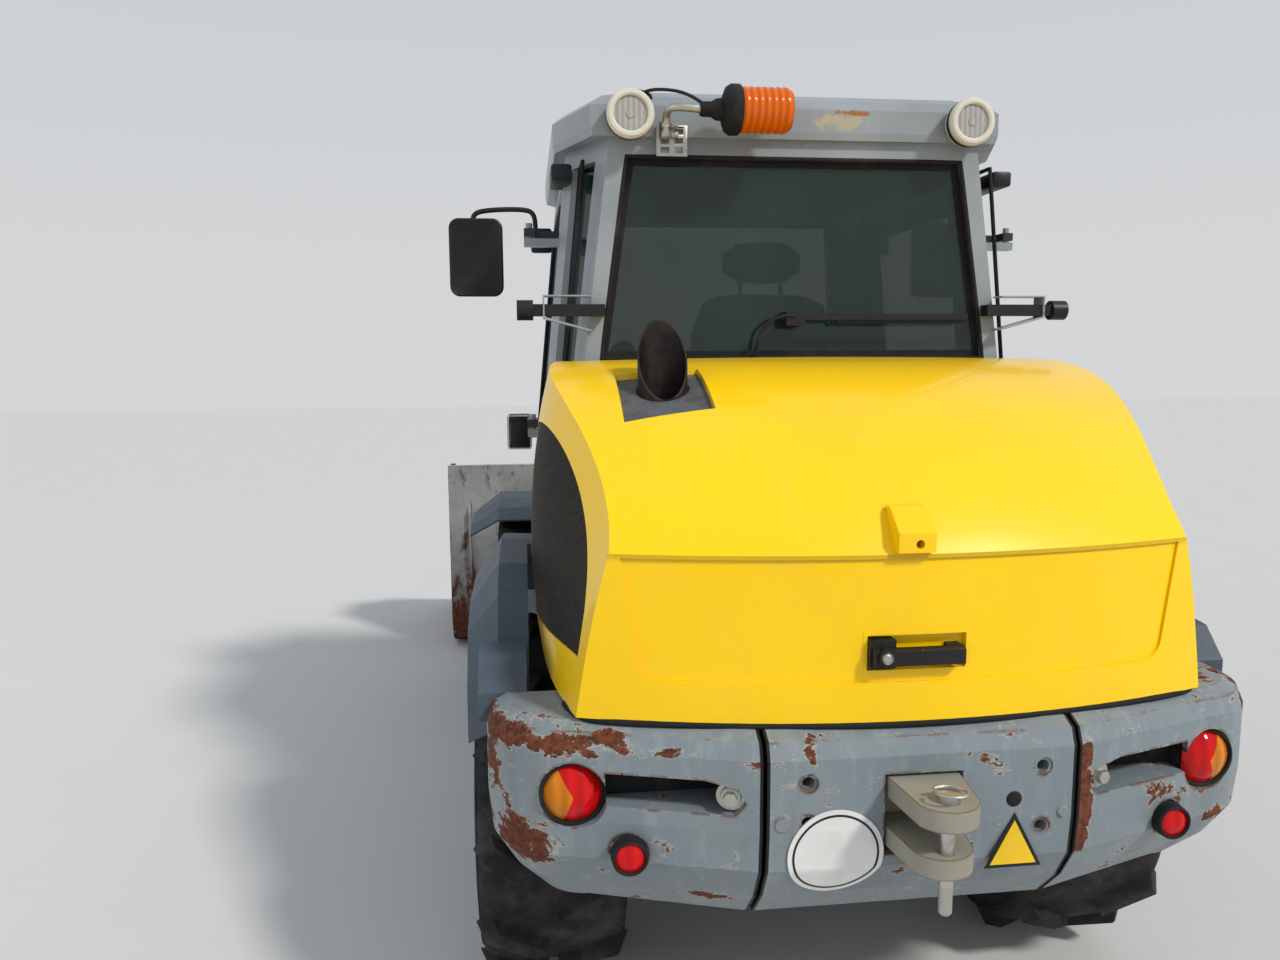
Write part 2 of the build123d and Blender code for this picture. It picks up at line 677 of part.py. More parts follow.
def shrunk_corner(along, z):
    """A corner of the door's outline, moved inward by the door's gap."""
    if along in (1560, 1640):
        moved_along = along + 5
    elif along < 1600:
        moved_along = along + door_gap
    else:
        moved_along = along - door_gap
    if z < 1400:
        return (moved_along, z + door_gap)
    return (moved_along, z - door_gap)


for place, sign in (("left", -1), ("right", 1)):
    with BuildPart() as door:
        cab_prism(0, Mode.ADD)
        cab_prism(cab_wall, Mode.SUBTRACT)
        inner, outer = sorted((sign * 400, sign * 900))
        slab([shrunk_corner(x, z) for x, z in door_outline], inner, outer, mode=Mode.INTERSECT)
        slab(door_window, inner, outer, mode=Mode.SUBTRACT)
        near, far = sorted((sign * (735 - cab_wall / 2), sign * 770))
        slab([(2090, 1060), (2200, 1060), (2200, 1110), (2090, 1110)], near, far)
        slab([(2105, 1050), (2185, 1050), (2185, 1120), (2105, 1120)],
             *sorted((sign * 736, sign * 758)), mode=Mode.SUBTRACT)
        for z, skin in ((cab_waist_z + 30, 725), (cab_waist_z + 610, 660)):
            near, far = sorted((sign * skin, sign * (door_hinge_x + 16)))
            box_between((near, door_hinge_along + 50, z), (far, door_hinge_along + 90, z + 24))
            near, far = sorted((sign * (door_hinge_x - 16), sign * (door_hinge_x + 16)))
            box_between((near, door_hinge_along - 16, z), (far, door_hinge_along + 50, z + 24))
        with Locations((sign * door_hinge_x, door_hinge_along + rear_face_y, 1800)):
            Cylinder(10 + run_gap, 900, mode=Mode.SUBTRACT)
    write(door.part, f"door_{place}")
    with BuildPart() as door_pane:
        glass_shell()
        slab(door_window, inner, outer, mode=Mode.INTERSECT)
    write(door_pane.part, f"door_{place}_glass")


# Hood sides as sections along the machine:
# (along, low half-width, middle half-width, top half-width, top height)
hood_sections = [(0, 652, 575, 530, 1400), (150, 697, 618, 580, 1490), (420, 742, 708, 652, 1660),
                 (hood_front_along, 762, 742, 662, 1800)]
hood_middle_z = 1410
# The rear and top of the hood are one profile turned about an upright axis ahead of the machine
hood_turn_radius = 2203
hood_rear_along = 30
hood_nose = (255, 1600)
hood_shoulder = (730, hood_top_z - 17)


def hood_sides(inset, mode=Mode.ADD):
    """The space between the hood's two flanks, moved inward by a wall."""
    ends = []
    for along, low, middle, top, top_z in hood_sections:
        with BuildSketch(tail.offset(-along)) as end_face:
            with BuildLine() as edge:
                ThreePointArc((low - inset, hood_bottom_z), (middle - inset, hood_middle_z),
                              (top - inset, top_z + 60))
                Line((top - inset, top_z + 60), (inset - top, top_z + 60))
                ThreePointArc((inset - top, top_z + 60), (inset - middle, hood_middle_z),
                              (inset - low, hood_bottom_z))
                Line((inset - low, hood_bottom_z), (low - inset, hood_bottom_z))
            make_face(edge.edges())
        ends.append(end_face.sketch)
    loft(ends, mode=mode)


def hood_shell(inset):
    """The turned body under the hood's rear face and top, moved inward by a wall."""
    pivot_y = hood_rear_along + hood_turn_radius + rear_face_y
    start = inset - hood_turn_radius
    with BuildSketch(Plane(origin=(0, pivot_y, 0), x_dir=(0, 1, 0), z_dir=(1, 0, 0))) as profile:
        with BuildLine() as edge:
            Line((start, hood_bottom_z - 1), (start, crease_z - inset))
            ThreePointArc((start, crease_z - inset), (start + hood_nose[0], hood_nose[1] - inset),
                          (start + hood_shoulder[0], hood_shoulder[1] - inset))
            Line((start + hood_shoulder[0], hood_shoulder[1] - inset),
                 (start + 1300, hood_top_z + 12 - inset))
            Line((start + 1300, hood_top_z + 12 - inset), (start + 1300, hood_bottom_z - 1))
            Line((start + 1300, hood_bottom_z - 1), (start, hood_bottom_z - 1))
        make_face(edge.edges())
    with BuildPart() as turned:
        revolve(profile.sketch, axis=Axis((0, pivot_y, 0), (0, 0, 1)), revolution_arc=50)
        revolve(profile.sketch, axis=Axis((0, pivot_y, 0), (0, 0, 1)), revolution_arc=-50)
    return turned.part


# Mesh grille in each flank, as an outline in side view
with BuildPart() as grille_space:
    with BuildSketch(side_plane(-900)) as grille_face:
        with BuildLine() as edge:
            Polyline((800, 1565), (800, 1085), (195, 1120), (205, 1215))
            ThreePointArc((205, 1215), (380, 1490), (800, 1565))
        make_face(edge.edges())
    extrude(grille_face.sketch, amount=1800)
    box_between((-560, 0, 1000), (560, 1000, 1800), mode=Mode.SUBTRACT)
with BuildPart() as hood_inner:
    hood_sides(hood_wall)
    add(hood_shell(hood_wall), mode=Mode.INTERSECT)
with BuildPart() as hood_outer:
    hood_sides(0)
    add(hood_shell(0), mode=Mode.INTERSECT)
# The recessed lower panel, as its outline seen from the rear
with BuildPart() as panel_space:
    with BuildSketch(tail.offset(-300)) as panel_face:
        with BuildLine() as edge:
            Line((603, crease_z - 8), (572, 1140))
            ThreePointArc((572, 1140), (560, 1110), (520, 1093))
            Line((520, 1093), (-520, 1093))
            ThreePointArc((-520, 1093), (-560, 1110), (-572, 1140))
            Line((-572, 1140), (-603, crease_z - 8))
            Line((-603, crease_z - 8), (603, crease_z - 8))
        make_face(edge.edges())
    extrude(panel_face.sketch, amount=400)
    add(hood_shell(panel_recess), mode=Mode.SUBTRACT)
with BuildPart() as engine_hood:
    add(hood_outer.part)
    add(hood_inner.part, mode=Mode.SUBTRACT)
    add(panel_space.part, mode=Mode.SUBTRACT)
    # Raised lip over the lock, with its hole
    slab([(92, 1447), (70, 1446), (14, 1400), (14, crease_z + 6), (60, crease_z + 6)], lip_low_x,
         lip_high_x)
    tail_disc(((lip_low_x + lip_high_x) / 2 + 6, 1378), 9, 0, 120)
    # Pocket behind the handle
    box_between((-122, 38, 1108), (104, 66, 1198))
    box_between((-113, -5, 1117), (95, 56, 1189), mode=Mode.SUBTRACT)
    # Opening round the tailpipe
    box_between((pipe_x - 108, pipe_along - 150, 1400), (pipe_x + 100, pipe_along + 92, 1900),
                mode=Mode.SUBTRACT)
    box_between((-800, hood_front_along - 12, 900), (800, 1000, 2000), mode=Mode.SUBTRACT)
    add(grille_space.part, mode=Mode.SUBTRACT)
    for sign in (-1, 1):
        near, far = sorted((sign * 425, sign * 445))
        slab([(890, hood_axis_z - 20), (924, hood_axis_z - 20), (924, hood_axis_z + 30),
              (890, hood_axis_z + 26)], near, far)
    bar((hood_axis_along, hood_axis_z), 9 + run_gap, -450, 450, mode=Mode.SUBTRACT)
write(engine_hood.part, "hood")

with BuildPart() as grilles:
    hood_sides(3)
    hood_sides(9, mode=Mode.SUBTRACT)
    add(grille_space.part, mode=Mode.INTERSECT)
write(grilles.part, "hood_grilles")

# Tailpipe with its mouth cut at a slant towards the rear, standing on a sunken plate
with BuildPart() as pipe_plate:
    box_between((pipe_x - 108, pipe_along - 150, 1400), (pipe_x + 100, pipe_along + 92, 1900))
    add(hood_shell(hood_wall - 4), mode=Mode.INTERSECT)
    add(hood_shell(hood_wall + 2), mode=Mode.SUBTRACT)
with BuildPart() as pipe:
    with Locations((pipe_x, pipe_along + rear_face_y, 1700)):
        Cylinder(pipe_radius, 270)
    slab([(pipe_along - 100, 1500), (pipe_along - pipe_radius, 1640), (pipe_along + pipe_radius, 1838),
          (pipe_along + 100, 2000), (pipe_along - 100,
                                     2000)], pipe_x - 200, pipe_x + 200, mode=Mode.SUBTRACT)
    add(pipe_plate.part)
    with Locations((pipe_x, pipe_along + rear_face_y, 1700)):
        Cylinder(pipe_radius - 4, 400, mode=Mode.SUBTRACT)
write(pipe.part, "tailpipe")

with BuildPart() as handle:
    box_between((-112, 24, 1124), (-58, 56, 1182))
    box_between((56, 24, 1130), (84, 56, 1166))
    slab([(8, 1133), (26, 1129), (26, 1167), (8, 1163)], -108, 82)
    tail_disc((-84, 1152), 17, 2, 24, mode=Mode.ADD)
write(handle.part, "hood_handle")

# Loader
arm_outline = [(2425, 1620), (2450, 1675), (2510, 1700), (2590, 1690), (3130, 1180), (3230, 1110),
               (3860, 320),
               (3880, 282), (3852, 238), (3800, 240), (3170, 930), (2960, 1180), (2800, 1230),
               (2760, 1205), (2680, 1205),
               (2660, 1260), (2520, 1545), (2450, 1560)]
with BuildPart() as arm:
    for sign in (-1, 1):
        near, far = sorted((sign * arm_inner, sign * (arm_inner + arm_thick)))
        slab(arm_outline, near, far)
    for sign in (-1, 1):
        bar(lever_pin, lever_stub_radius, *sorted((sign * 45, sign * (arm_inner + 5))))
        bar(lever_pin, 52, *sorted((sign * (link_plane + link_thick + 8), sign * (arm_inner + 5))))
    bar(arm_tube, 36, -arm_inner, arm_inner)
    bar(tilt_base_pin, 20, -arm_inner, arm_inner)
    bar(arm_pin, 32 + run_gap, -200, 200, mode=Mode.SUBTRACT)
    bar(hitch_low_pin, 24 + run_gap, -200, 200, mode=Mode.SUBTRACT)
write(arm.part, "lift_arm")


def along_line(start, end, distance):
    """A point on the way from start to end."""
    length = hypot(end[0] - start[0], end[1] - start[1])
    return (start[0] + (end[0] - start[0]) * distance / length,
            start[1] + (end[1] - start[1]) * distance / length)


def tube_between(start, end, x, radius, from_distance, to_distance, mode=Mode.ADD):
    """Adds or cuts a cylinder that runs along the line between two pins in a side plane."""
    length = hypot(end[0] - start[0], end[1] - start[1])
    direction = ((end[0] - start[0]) / length, (end[1] - start[1]) / length)
    first = along_line(start, end, from_distance)
    place = Plane(origin=(x, first[0] + rear_face_y, first[1]), x_dir=(1, 0, 0),
                  z_dir=(0, direction[0], direction[1]))
    with BuildSketch(place) as disc:
        Circle(radius)
    extrude(disc.sketch, amount=to_distance - from_distance, mode=mode)


lift_length = hypot(lift_eye_pin[0] - lift_base_pin[0], lift_eye_pin[1] - lift_base_pin[1])
tilt_length = hypot(rod_pin[0] - tilt_base_pin[0], rod_pin[1] - tilt_base_pin[1])
with BuildPart() as lift_barrel:
    for sign in (-1, 1):
        x = sign * lift_plane
        tube_between(lift_base_pin, lift_eye_pin, x, 42, 40, 650)
        bar(lift_base_pin, 44, x - 28, x + 28)
        tube_between(lift_base_pin, lift_eye_pin, x, 23, 80, 660, mode=Mode.SUBTRACT)
    bar(lift_base_pin, 28 + run_gap, -150, 150, mode=Mode.SUBTRACT)
write(lift_barrel.part, "lift_barrels")

with BuildPart() as lift_rod:
    for sign in (-1, 1):
        x = sign * lift_plane
        tube_between(lift_base_pin, lift_eye_pin, x, 22.95, 95, lift_length - 20)
        bar(lift_eye_pin, 40, x - 25, x + 25)
        bar(lift_eye_pin, 26, x - 30, x + 30, mode=Mode.SUBTRACT)
write(lift_rod.part, "lift_rods")

with BuildPart() as lever:
    for sign in (-1, 1):
        near, far = sorted((sign * lever_plane, sign * (lever_plane + 18)))
        slab([polar(lever_pin, 58, lever_angle + 90), polar(lever_pin, 58, lever_angle + 180),
              polar(lever_pin, 58, lever_angle - 90),
              polar(link_rear_pin, 30, lever_angle - 90), polar(link_rear_pin, 30, lever_angle),
              polar(link_rear_pin, 30, lever_angle + 90)],
             near, far)
        bar(lever_pin, 60, *sorted((sign * lever_plane, sign * (lever_plane + 22))))
        bar(rod_pin, 24, *sorted((sign * lever_plane, sign * (lever_plane + 26))))
    bar(link_rear_pin, 18, -90, 90)
    bar(lever_pin, lever_stub_radius + run_gap, -100, 100, mode=Mode.SUBTRACT)
write(lever.part, "tilt_lever")

with BuildPart() as link:
    for sign in (-1, 1):
        near, far = sorted((sign * link_plane, sign * (link_plane + link_thick)))
        for pin_place in (link_rear_pin, hitch_top_pin):
            bar(pin_place, 30, near, far)
        direction = degrees(atan2(hitch_top_pin[1] - link_rear_pin[1], hitch_top_pin[0] - link_rear_pin[0]))
        slab([polar(link_rear_pin, link_half, direction + 90),
              polar(hitch_top_pin, link_half, direction + 90),
              polar(hitch_top_pin, link_half, direction - 90),
              polar(link_rear_pin, link_half, direction - 90)],
             near, far)
    bar(link_rear_pin, 18 + run_gap, -100, 100, mode=Mode.SUBTRACT)
    bar(hitch_top_pin, 18 + run_gap, -100, 100, mode=Mode.SUBTRACT)
write(link.part, "tilt_link")

with BuildPart() as tilt_tube:
    tube_between(tilt_base_pin, rod_pin, 0, 32, 30, 405)
    tube_between(tilt_base_pin, rod_pin, 0, 36, 385, 420)
    bar(tilt_base_pin, 36, -30, 30)
    bar(tilt_base_pin, 20 + run_gap, -60, 60, mode=Mode.SUBTRACT)
    tube_between(tilt_base_pin, rod_pin, 0, 15 + run_gap, 60, 430, mode=Mode.SUBTRACT)
write(tilt_tube.part, "tilt_barrel")

with BuildPart() as tilt_stem:
    tube_between(tilt_base_pin, rod_pin, 0, 15, 130, tilt_length - 15)
    bar(rod_pin, 28, -26, 26)
    bar(rod_pin, 18, -30, 30, mode=Mode.SUBTRACT)
write(tilt_stem.part, "tilt_rod")

with BuildPart() as hitch:
    slab([(3895, 220), (3925, 220), (3925, 600), (3895, 600)], -300, 300)
    box_between((-100, 3890, 510), (100, 3930, 620), mode=Mode.SUBTRACT)
    for sign in (-1, 1):
        near, far = sorted((sign * 190, sign * 212))
        slab([(3800, 270), (3815, 240), (3895, 225), (3895, 530), (3815, 315)], near, far)
        bar(hitch_low_pin, 40, near, far)
        bar(hitch_low_pin, 24, *sorted((sign * 147, sign * 212)))
        near, far = sorted((sign * lever_plane, sign * (lever_plane + 18)))
        slab([(3836, 578), (3864, 606), (3925, 610), (3925, 440), (3895, 440), (3838, 560)], near, far)
    bar(hitch_top_pin, 18, -90, 90)
write(hitch.part, "quick_hitch")

with BuildPart() as shovel:
    slab([(bucket_back_along, bucket_height), (bucket_back_along, 190), (3985, 70), (4090, 16),
          (bucket_tip_along, 16),
          (bucket_tip_along, 34), (4620, 700), (4200, bucket_height)], -bucket_half, bucket_half)
    slab([(bucket_back_along + bucket_plate, 1200), (bucket_back_along + bucket_plate, 195), (3995, 82),
          (4095, 32),
          (5200, 32),
          (5200, 1200)], bucket_plate - bucket_half, bucket_half - bucket_plate, mode=Mode.SUBTRACT)
    # Spill guard, cutting edge and ribs behind
    slab([(bucket_back_along, bucket_height), (bucket_back_along, bucket_height + 25),
          (3990, bucket_height + 25),
          (4015, bucket_height)], -bucket_half, bucket_half)
    slab([(bucket_tip_along - 230, 34), (bucket_tip_along - 200, 46), (bucket_tip_along - 40, 46),
          (bucket_tip_along, 34)],
         -bucket_half, bucket_half)
    for x in rib_places:
        rib_along = bucket_back_along - rib_depth
        slab([(bucket_back_along, 420), (rib_along, 470), (rib_along, 830), (bucket_back_along, 880)],
             x - 7, x + 7)
    for sign in (-1, 1):
        slab([(bucket_tip_along - 90, 34), (bucket_tip_along - 10, 34), (4640, 712),
              (4215, bucket_height + 12),
              (4160, bucket_height + 12), (4590, 690)], *sorted((sign * (bucket_half - 26),
                                                                 sign * bucket_half)))
write(shovel.part, "bucket")
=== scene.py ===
"""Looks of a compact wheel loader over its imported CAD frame: materials, trim, camera, floor and light."""
from math import atan2, cos, degrees, pi, radians, sin

import bmesh
import bpy
from mathutils import Matrix, Vector


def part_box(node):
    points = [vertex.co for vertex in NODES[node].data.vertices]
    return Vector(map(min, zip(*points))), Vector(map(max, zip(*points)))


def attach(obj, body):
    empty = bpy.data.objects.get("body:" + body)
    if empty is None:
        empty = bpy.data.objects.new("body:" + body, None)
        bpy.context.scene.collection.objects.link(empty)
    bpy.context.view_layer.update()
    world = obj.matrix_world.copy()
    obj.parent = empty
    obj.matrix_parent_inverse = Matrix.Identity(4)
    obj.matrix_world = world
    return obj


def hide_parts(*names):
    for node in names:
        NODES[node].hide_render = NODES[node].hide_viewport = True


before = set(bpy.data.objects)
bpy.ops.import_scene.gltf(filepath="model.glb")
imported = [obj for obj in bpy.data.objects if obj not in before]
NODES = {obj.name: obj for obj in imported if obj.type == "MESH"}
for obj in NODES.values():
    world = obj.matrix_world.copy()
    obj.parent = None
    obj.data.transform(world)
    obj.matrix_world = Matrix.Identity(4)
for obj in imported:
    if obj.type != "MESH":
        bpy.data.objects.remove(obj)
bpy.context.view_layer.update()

# Row position of the counterweight's rear face, and how far its seams lie from the middle, in metres
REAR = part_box("counterweight_center")[0][1]
SEAM = 0.329
# Wheel middles, off the machine's middle and above the ground, in metres
WHEEL_X = 0.74
WHEEL_Z = 0.5
SIDES = (("left", -1), ("right", 1))
BACKWARD = (0, -1, 0)
QUARTER_TURN_X = Matrix.Rotation(pi / 2, 4, "X")
QUARTER_TURN_Y = Matrix.Rotation(pi / 2, 4, "Y")


# Materials
class Paint:
    """A node material on a Principled shader, with short calls for the usual nodes."""

    def __init__(self, name, rough=0.5, metallic=0.0, coat=0.0, coat_rough=0.1, specular=0.32):
        self.material = bpy.data.materials.new(name)
        self.material.use_nodes = True
        self.tree = self.material.node_tree
        self.shader = self.tree.nodes["Principled BSDF"]
        self.shader.inputs["Metallic"].default_value = metallic
        self.shader.inputs["Roughness"].default_value = rough
        self.shader.inputs["Coat Weight"].default_value = coat
        self.shader.inputs["Coat Roughness"].default_value = coat_rough
        self.shader.inputs["Specular IOR Level"].default_value = specular
        self.place = self.tree.nodes.new("ShaderNodeTexCoord").outputs["Object"]

    def feed(self, socket, value):
        if hasattr(value, "is_linked") or hasattr(value, "links"):
            self.tree.links.new(value, socket)
        elif isinstance(value, (tuple, list)) and len(value) == 3 and socket.type == "RGBA":
            socket.default_value = (*value, 1.0)
        else:
            socket.default_value = value

    def math(self, operation, first, second=0.0, clamp=False):
        node = self.tree.nodes.new("ShaderNodeMath")
        node.operation = operation
        node.use_clamp = clamp
        self.feed(node.inputs[0], first)
        self.feed(node.inputs[1], second)
        return node.outputs[0]

    def axis(self, name):
        node = self.tree.nodes.new("ShaderNodeSeparateXYZ")
        self.tree.links.new(self.place, node.inputs[0])
        return node.outputs[name]

    def scaled(self, vector):
        node = self.tree.nodes.new("ShaderNodeMapping")
        self.tree.links.new(self.place, node.inputs["Vector"])
        node.inputs["Scale"].default_value = vector
        return node.outputs[0]

    def noise(self, scale, detail=4.0, roughness=0.55, stretch=None, distortion=0.0):
        node = self.tree.nodes.new("ShaderNodeTexNoise")
        self.tree.links.new(self.scaled(stretch) if stretch else self.place, node.inputs["Vector"])
        node.inputs["Scale"].default_value = scale
        node.inputs["Detail"].default_value = detail
        node.inputs["Roughness"].default_value = roughness
        node.inputs["Distortion"].default_value = distortion
        return node.outputs["Fac"]

    def cells(self, scale, feature="F1", stretch=None):
        node = self.tree.nodes.new("ShaderNodeTexVoronoi")
        self.tree.links.new(self.scaled(stretch) if stretch else self.place, node.inputs["Vector"])
        node.feature = feature
        node.inputs["Scale"].default_value = scale
        return node.outputs["Distance"]

    def step(self, value, low, high):
        """0 below low and 1 above high, smooth between."""
        node = self.tree.nodes.new("ShaderNodeMapRange")
        node.interpolation_type = "SMOOTHSTEP"
        self.feed(node.inputs["Value"], value)
        node.inputs["From Min"].default_value = low
        node.inputs["From Max"].default_value = high
        return node.outputs["Result"]

    def mix(self, factor, first, second):
        node = self.tree.nodes.new("ShaderNodeMix")
        node.data_type = "RGBA"
        self.feed(node.inputs["Factor"], factor)
        self.feed(node.inputs[6], first)
        self.feed(node.inputs[7], second)
        return node.outputs[2]

    def blend(self, factor, first, second):
        """A number that goes from first to second with the factor."""
        node = self.tree.nodes.new("ShaderNodeMapRange")
        self.feed(node.inputs["Value"], factor)
        node.inputs["To Min"].default_value = first
        node.inputs["To Max"].default_value = second
        return node.outputs["Result"]

    def edges(self, width):
        """1 along sharp edges of the mesh, 0 on flats."""
        bevel = self.tree.nodes.new("ShaderNodeBevel")
        bevel.samples = 4
        bevel.inputs["Radius"].default_value = width
        geometry = self.tree.nodes.new("ShaderNodeNewGeometry")
        dot = self.tree.nodes.new("ShaderNodeVectorMath")
        dot.operation = "DOT_PRODUCT"
        self.tree.links.new(bevel.outputs[0], dot.inputs[0])
        self.tree.links.new(geometry.outputs["Normal"], dot.inputs[1])
        return self.step(self.math("SUBTRACT", 1.0, dot.outputs["Value"]), 0.01, 0.12)

    def patch(self, x, z, half_width, half_height):
        """1 at a place seen from the rear, falling to 0 at an ellipse around it."""
        across = self.math("DIVIDE", self.math("SUBTRACT", self.axis("X"), x), half_width)
        upward = self.math("DIVIDE", self.math("SUBTRACT", self.axis("Z"), z), half_height)
        across = self.math("MULTIPLY", across, across)
        square = self.math("ADD", across, self.math("MULTIPLY", upward, upward))
        return self.math("SUBTRACT", 1.0, square, clamp=True)

    def color(self, value):
        self.feed(self.shader.inputs["Base Color"], value)

    def rough(self, value):
        self.feed(self.shader.inputs["Roughness"], value)

    def metal(self, value):
        self.feed(self.shader.inputs["Metallic"], value)

    def bump(self, height, strength=0.3, distance=0.002):
        node = self.tree.nodes.new("ShaderNodeBump")
        node.inputs["Strength"].default_value = strength
        node.inputs["Distance"].default_value = distance
        self.feed(node.inputs["Height"], height)
        self.tree.links.new(node.outputs[0], self.shader.inputs["Normal"])


RUST_DARK = (0.065, 0.02, 0.011)
RUST_LIGHT = (0.17, 0.048, 0.018)
DUST = (0.36, 0.33, 0.27)
GREY_PAINT = (0.185, 0.222, 0.245)
YELLOW = (1.0, 0.625, 0.0)


def rust_color(p):
    return p.mix(p.step(p.noise(60, 5, 0.7), 0.35, 0.65), RUST_DARK, RUST_LIGHT)


def yellow_paint():
    p = Paint("yellow_paint", rough=0.28, coat=0.3, coat_rough=0.04, specular=0.25)
    base = p.mix(p.step(p.noise(1.6, 2), 0.3, 0.7), YELLOW, (0.96, 0.585, 0.0))
    dust = p.math("MULTIPLY", p.step(p.noise(9, 6, 0.7), 0.45, 0.75), 0.05)
    base = p.mix(dust, base, DUST)
    height = p.axis("Z")
    # Painted shadow: a dark yellow line along the crease of the hood's rear face, where the upper panel's
    # overhang casts its shade
    crease = p.math("SUBTRACT", p.step(height, 1.336, 1.3515), p.step(height, 1.3545, 1.356))
    grime_and_shadow = p.math("MULTIPLY", crease, p.blend(p.step(p.axis("Y"), REAR + 0.11, REAR + 0.15), 0.5, 0.0))
    p.color(p.mix(grime_and_shadow, base, (0.34, 0.2, 0.004)))
    p.rough(p.blend(p.noise(30, 5), 0.24, 0.36))
    p.bump(p.noise(260, 2, 0.4), 0.05, 0.0006)
    return p.material


# Rusted places of the counterweight seen from the rear, as (x, z, half width, half height, strength)
RUST_PLACES = [
    (-0.74, 0.965, 0.19, 0.04, 0.21), (-0.5, 0.957, 0.06, 0.022, 0.15), (-0.82, 0.735, 0.13, 0.085, 0.2),
    (-0.42, 0.625, 0.14, 0.03, 0.16), (-0.235, 0.965, 0.02, 0.05, 0.18), (0.35, 0.84, 0.034, 0.17, 0.33),
    (0.72, 1.0, 0.2, 0.03, 0.09), (0.86, 0.93, 0.06, 0.09, 0.18), (0.6, 0.79, 0.16, 0.05, 0.11),
    (0.8, 0.71, 0.16, 0.05, 0.16), (-0.87, 0.9, 0.05, 0.12, 0.14), (0.27, 0.8, 0.06, 0.03, 0.1),
]


def cast_grey():
    """Worn grey paint over cast iron, with painted shade as black bands along the seams, and rust in places
    and along sharp edges.
    """
    p = Paint("cast_grey", rough=0.5)
    tone = p.mix(p.step(p.noise(3.5, 4, 0.6), 0.3, 0.7), GREY_PAINT, (0.215, 0.25, 0.27))
    streak = p.step(p.noise(9, 6, 0.75, stretch=(2.6, 2.6, 0.5)), 0.5, 0.72)
    tone = p.mix(p.math("MULTIPLY", streak, 0.35), tone, (0.38, 0.41, 0.42))
    stain = p.step(p.noise(5, 7, 0.7, stretch=(1.0, 1.0, 0.35)), 0.52, 0.75)
    tone = p.mix(p.math("MULTIPLY", stain, 0.35), tone, (0.16, 0.15, 0.13))
    worn = p.math("MULTIPLY", p.edges(0.012), 0.15)
    for x, z, half_width, half_height, strength in RUST_PLACES:
        place = p.patch(x, z, half_width, half_height)
        worn = p.math("ADD", worn, p.math("MULTIPLY", place, strength))
    grain = p.noise(11, 9, 0.72, stretch=(1.0, 1.0, 1.5), distortion=0.3)
    rust = p.step(p.math("ADD", grain, worn), 0.615, 0.65)
    chip = p.step(p.math("ADD", grain, worn), 0.601, 0.612)
    bare = p.mix(chip, tone, (0.36, 0.38, 0.36))
    # Painted shade: black bands 20 mm wide along the seams, wider than the gaps between the sections, stand
    # in for the shade in them
    offset = p.math("ABSOLUTE", p.math("SUBTRACT", p.math("ABSOLUTE", p.axis("X")), SEAM))
    seam_shade = p.math("SUBTRACT", 1.0, p.step(offset, 0.0095, 0.0105))
    p.color(p.mix(seam_shade, p.mix(rust, bare, rust_color(p)), (0.006, 0.006, 0.006)))
    p.rough(p.blend(rust, 0.4, 0.85))
    height = p.math("ADD", p.math("MULTIPLY", p.noise(90, 4, 0.6), 0.5), p.math("MULTIPLY", rust, -0.35))
    p.bump(height, 0.35, 0.003)
    return p.material


def painted(name, color, worn_color, rough=0.45, wear=0.1, grime_and_shadow=0.25, bump=0.15, coat=0.0, patches=()):
    """Painted or moulded surface with a slight tone change, grime in patches and worn edges."""
    p = Paint(name, rough=rough, coat=coat)
    other = tuple(c * 0.82 for c in color)
    tone = p.mix(p.step(p.noise(4, 4), 0.3, 0.7), color, other)
    dirt = p.math("MULTIPLY", p.step(p.noise(7, 8, 0.7), 0.5, 0.8), grime_and_shadow)
    tone = p.mix(dirt, tone, DUST)
    for x, z, half_width, half_height, patch_color in patches:
        place = p.math("MULTIPLY", p.patch(x, z, half_width, half_height), 0.24)
        tone = p.mix(p.step(p.math("ADD", place, p.noise(22, 9, 0.75)), 0.64, 0.72), tone, patch_color)
    worn = p.math("ADD", p.noise(24, 8, 0.7), p.math("MULTIPLY", p.edges(0.006), wear * 2))
    mask = p.step(worn, 0.7, 0.74)
    p.color(p.mix(mask, tone, worn_color))
    p.rough(p.blend(p.noise(18, 5), rough - 0.08, rough + 0.12))
    p.bump(p.noise(120, 4, 0.6), bump, 0.0015)
    return p.material


def rubber():
    p = Paint("tyre_rubber", rough=0.85)
    dust = p.step(p.noise(6, 8, 0.7), 0.42, 0.72)
    p.color(p.mix(p.math("MULTIPLY", dust, 0.45), (0.01, 0.01, 0.011), (0.11, 0.098, 0.085)))
    p.rough(p.blend(p.noise(25, 5), 0.75, 0.95))
    p.bump(p.noise(160, 4, 0.7), 0.3, 0.002)
    return p.material


def metal(name, color, rough=0.35, dirt=0.3):
    p = Paint(name, rough=rough, metallic=1.0)
    spots = p.math("MULTIPLY", p.step(p.noise(30, 7, 0.7), 0.5, 0.7), dirt)
    p.color(p.mix(spots, color, (0.12, 0.09, 0.07)))
    p.metal(p.blend(spots, 1.0, 0.4))
    p.rough(p.blend(p.noise(50, 5), rough - 0.08, rough + 0.2))
    p.bump(p.noise(200, 3), 0.1, 0.0008)
    return p.material


def glass(name, tint, alpha):
    p = Paint(name, rough=0.03, specular=0.5, coat=0.25, coat_rough=0.02)
    film = p.step(p.noise(2.2, 7, 0.7), 0.4, 0.8)
    p.color(p.mix(p.math("MULTIPLY", film, 0.4), tint, tuple(min(1.0, c * 2.2) for c in tint)))
    p.feed(p.shader.inputs["Alpha"], p.blend(film, alpha, alpha + 0.08))
    p.rough(p.blend(film, 0.02, 0.1))
    p.material.surface_render_method = "BLENDED"
    return p.material


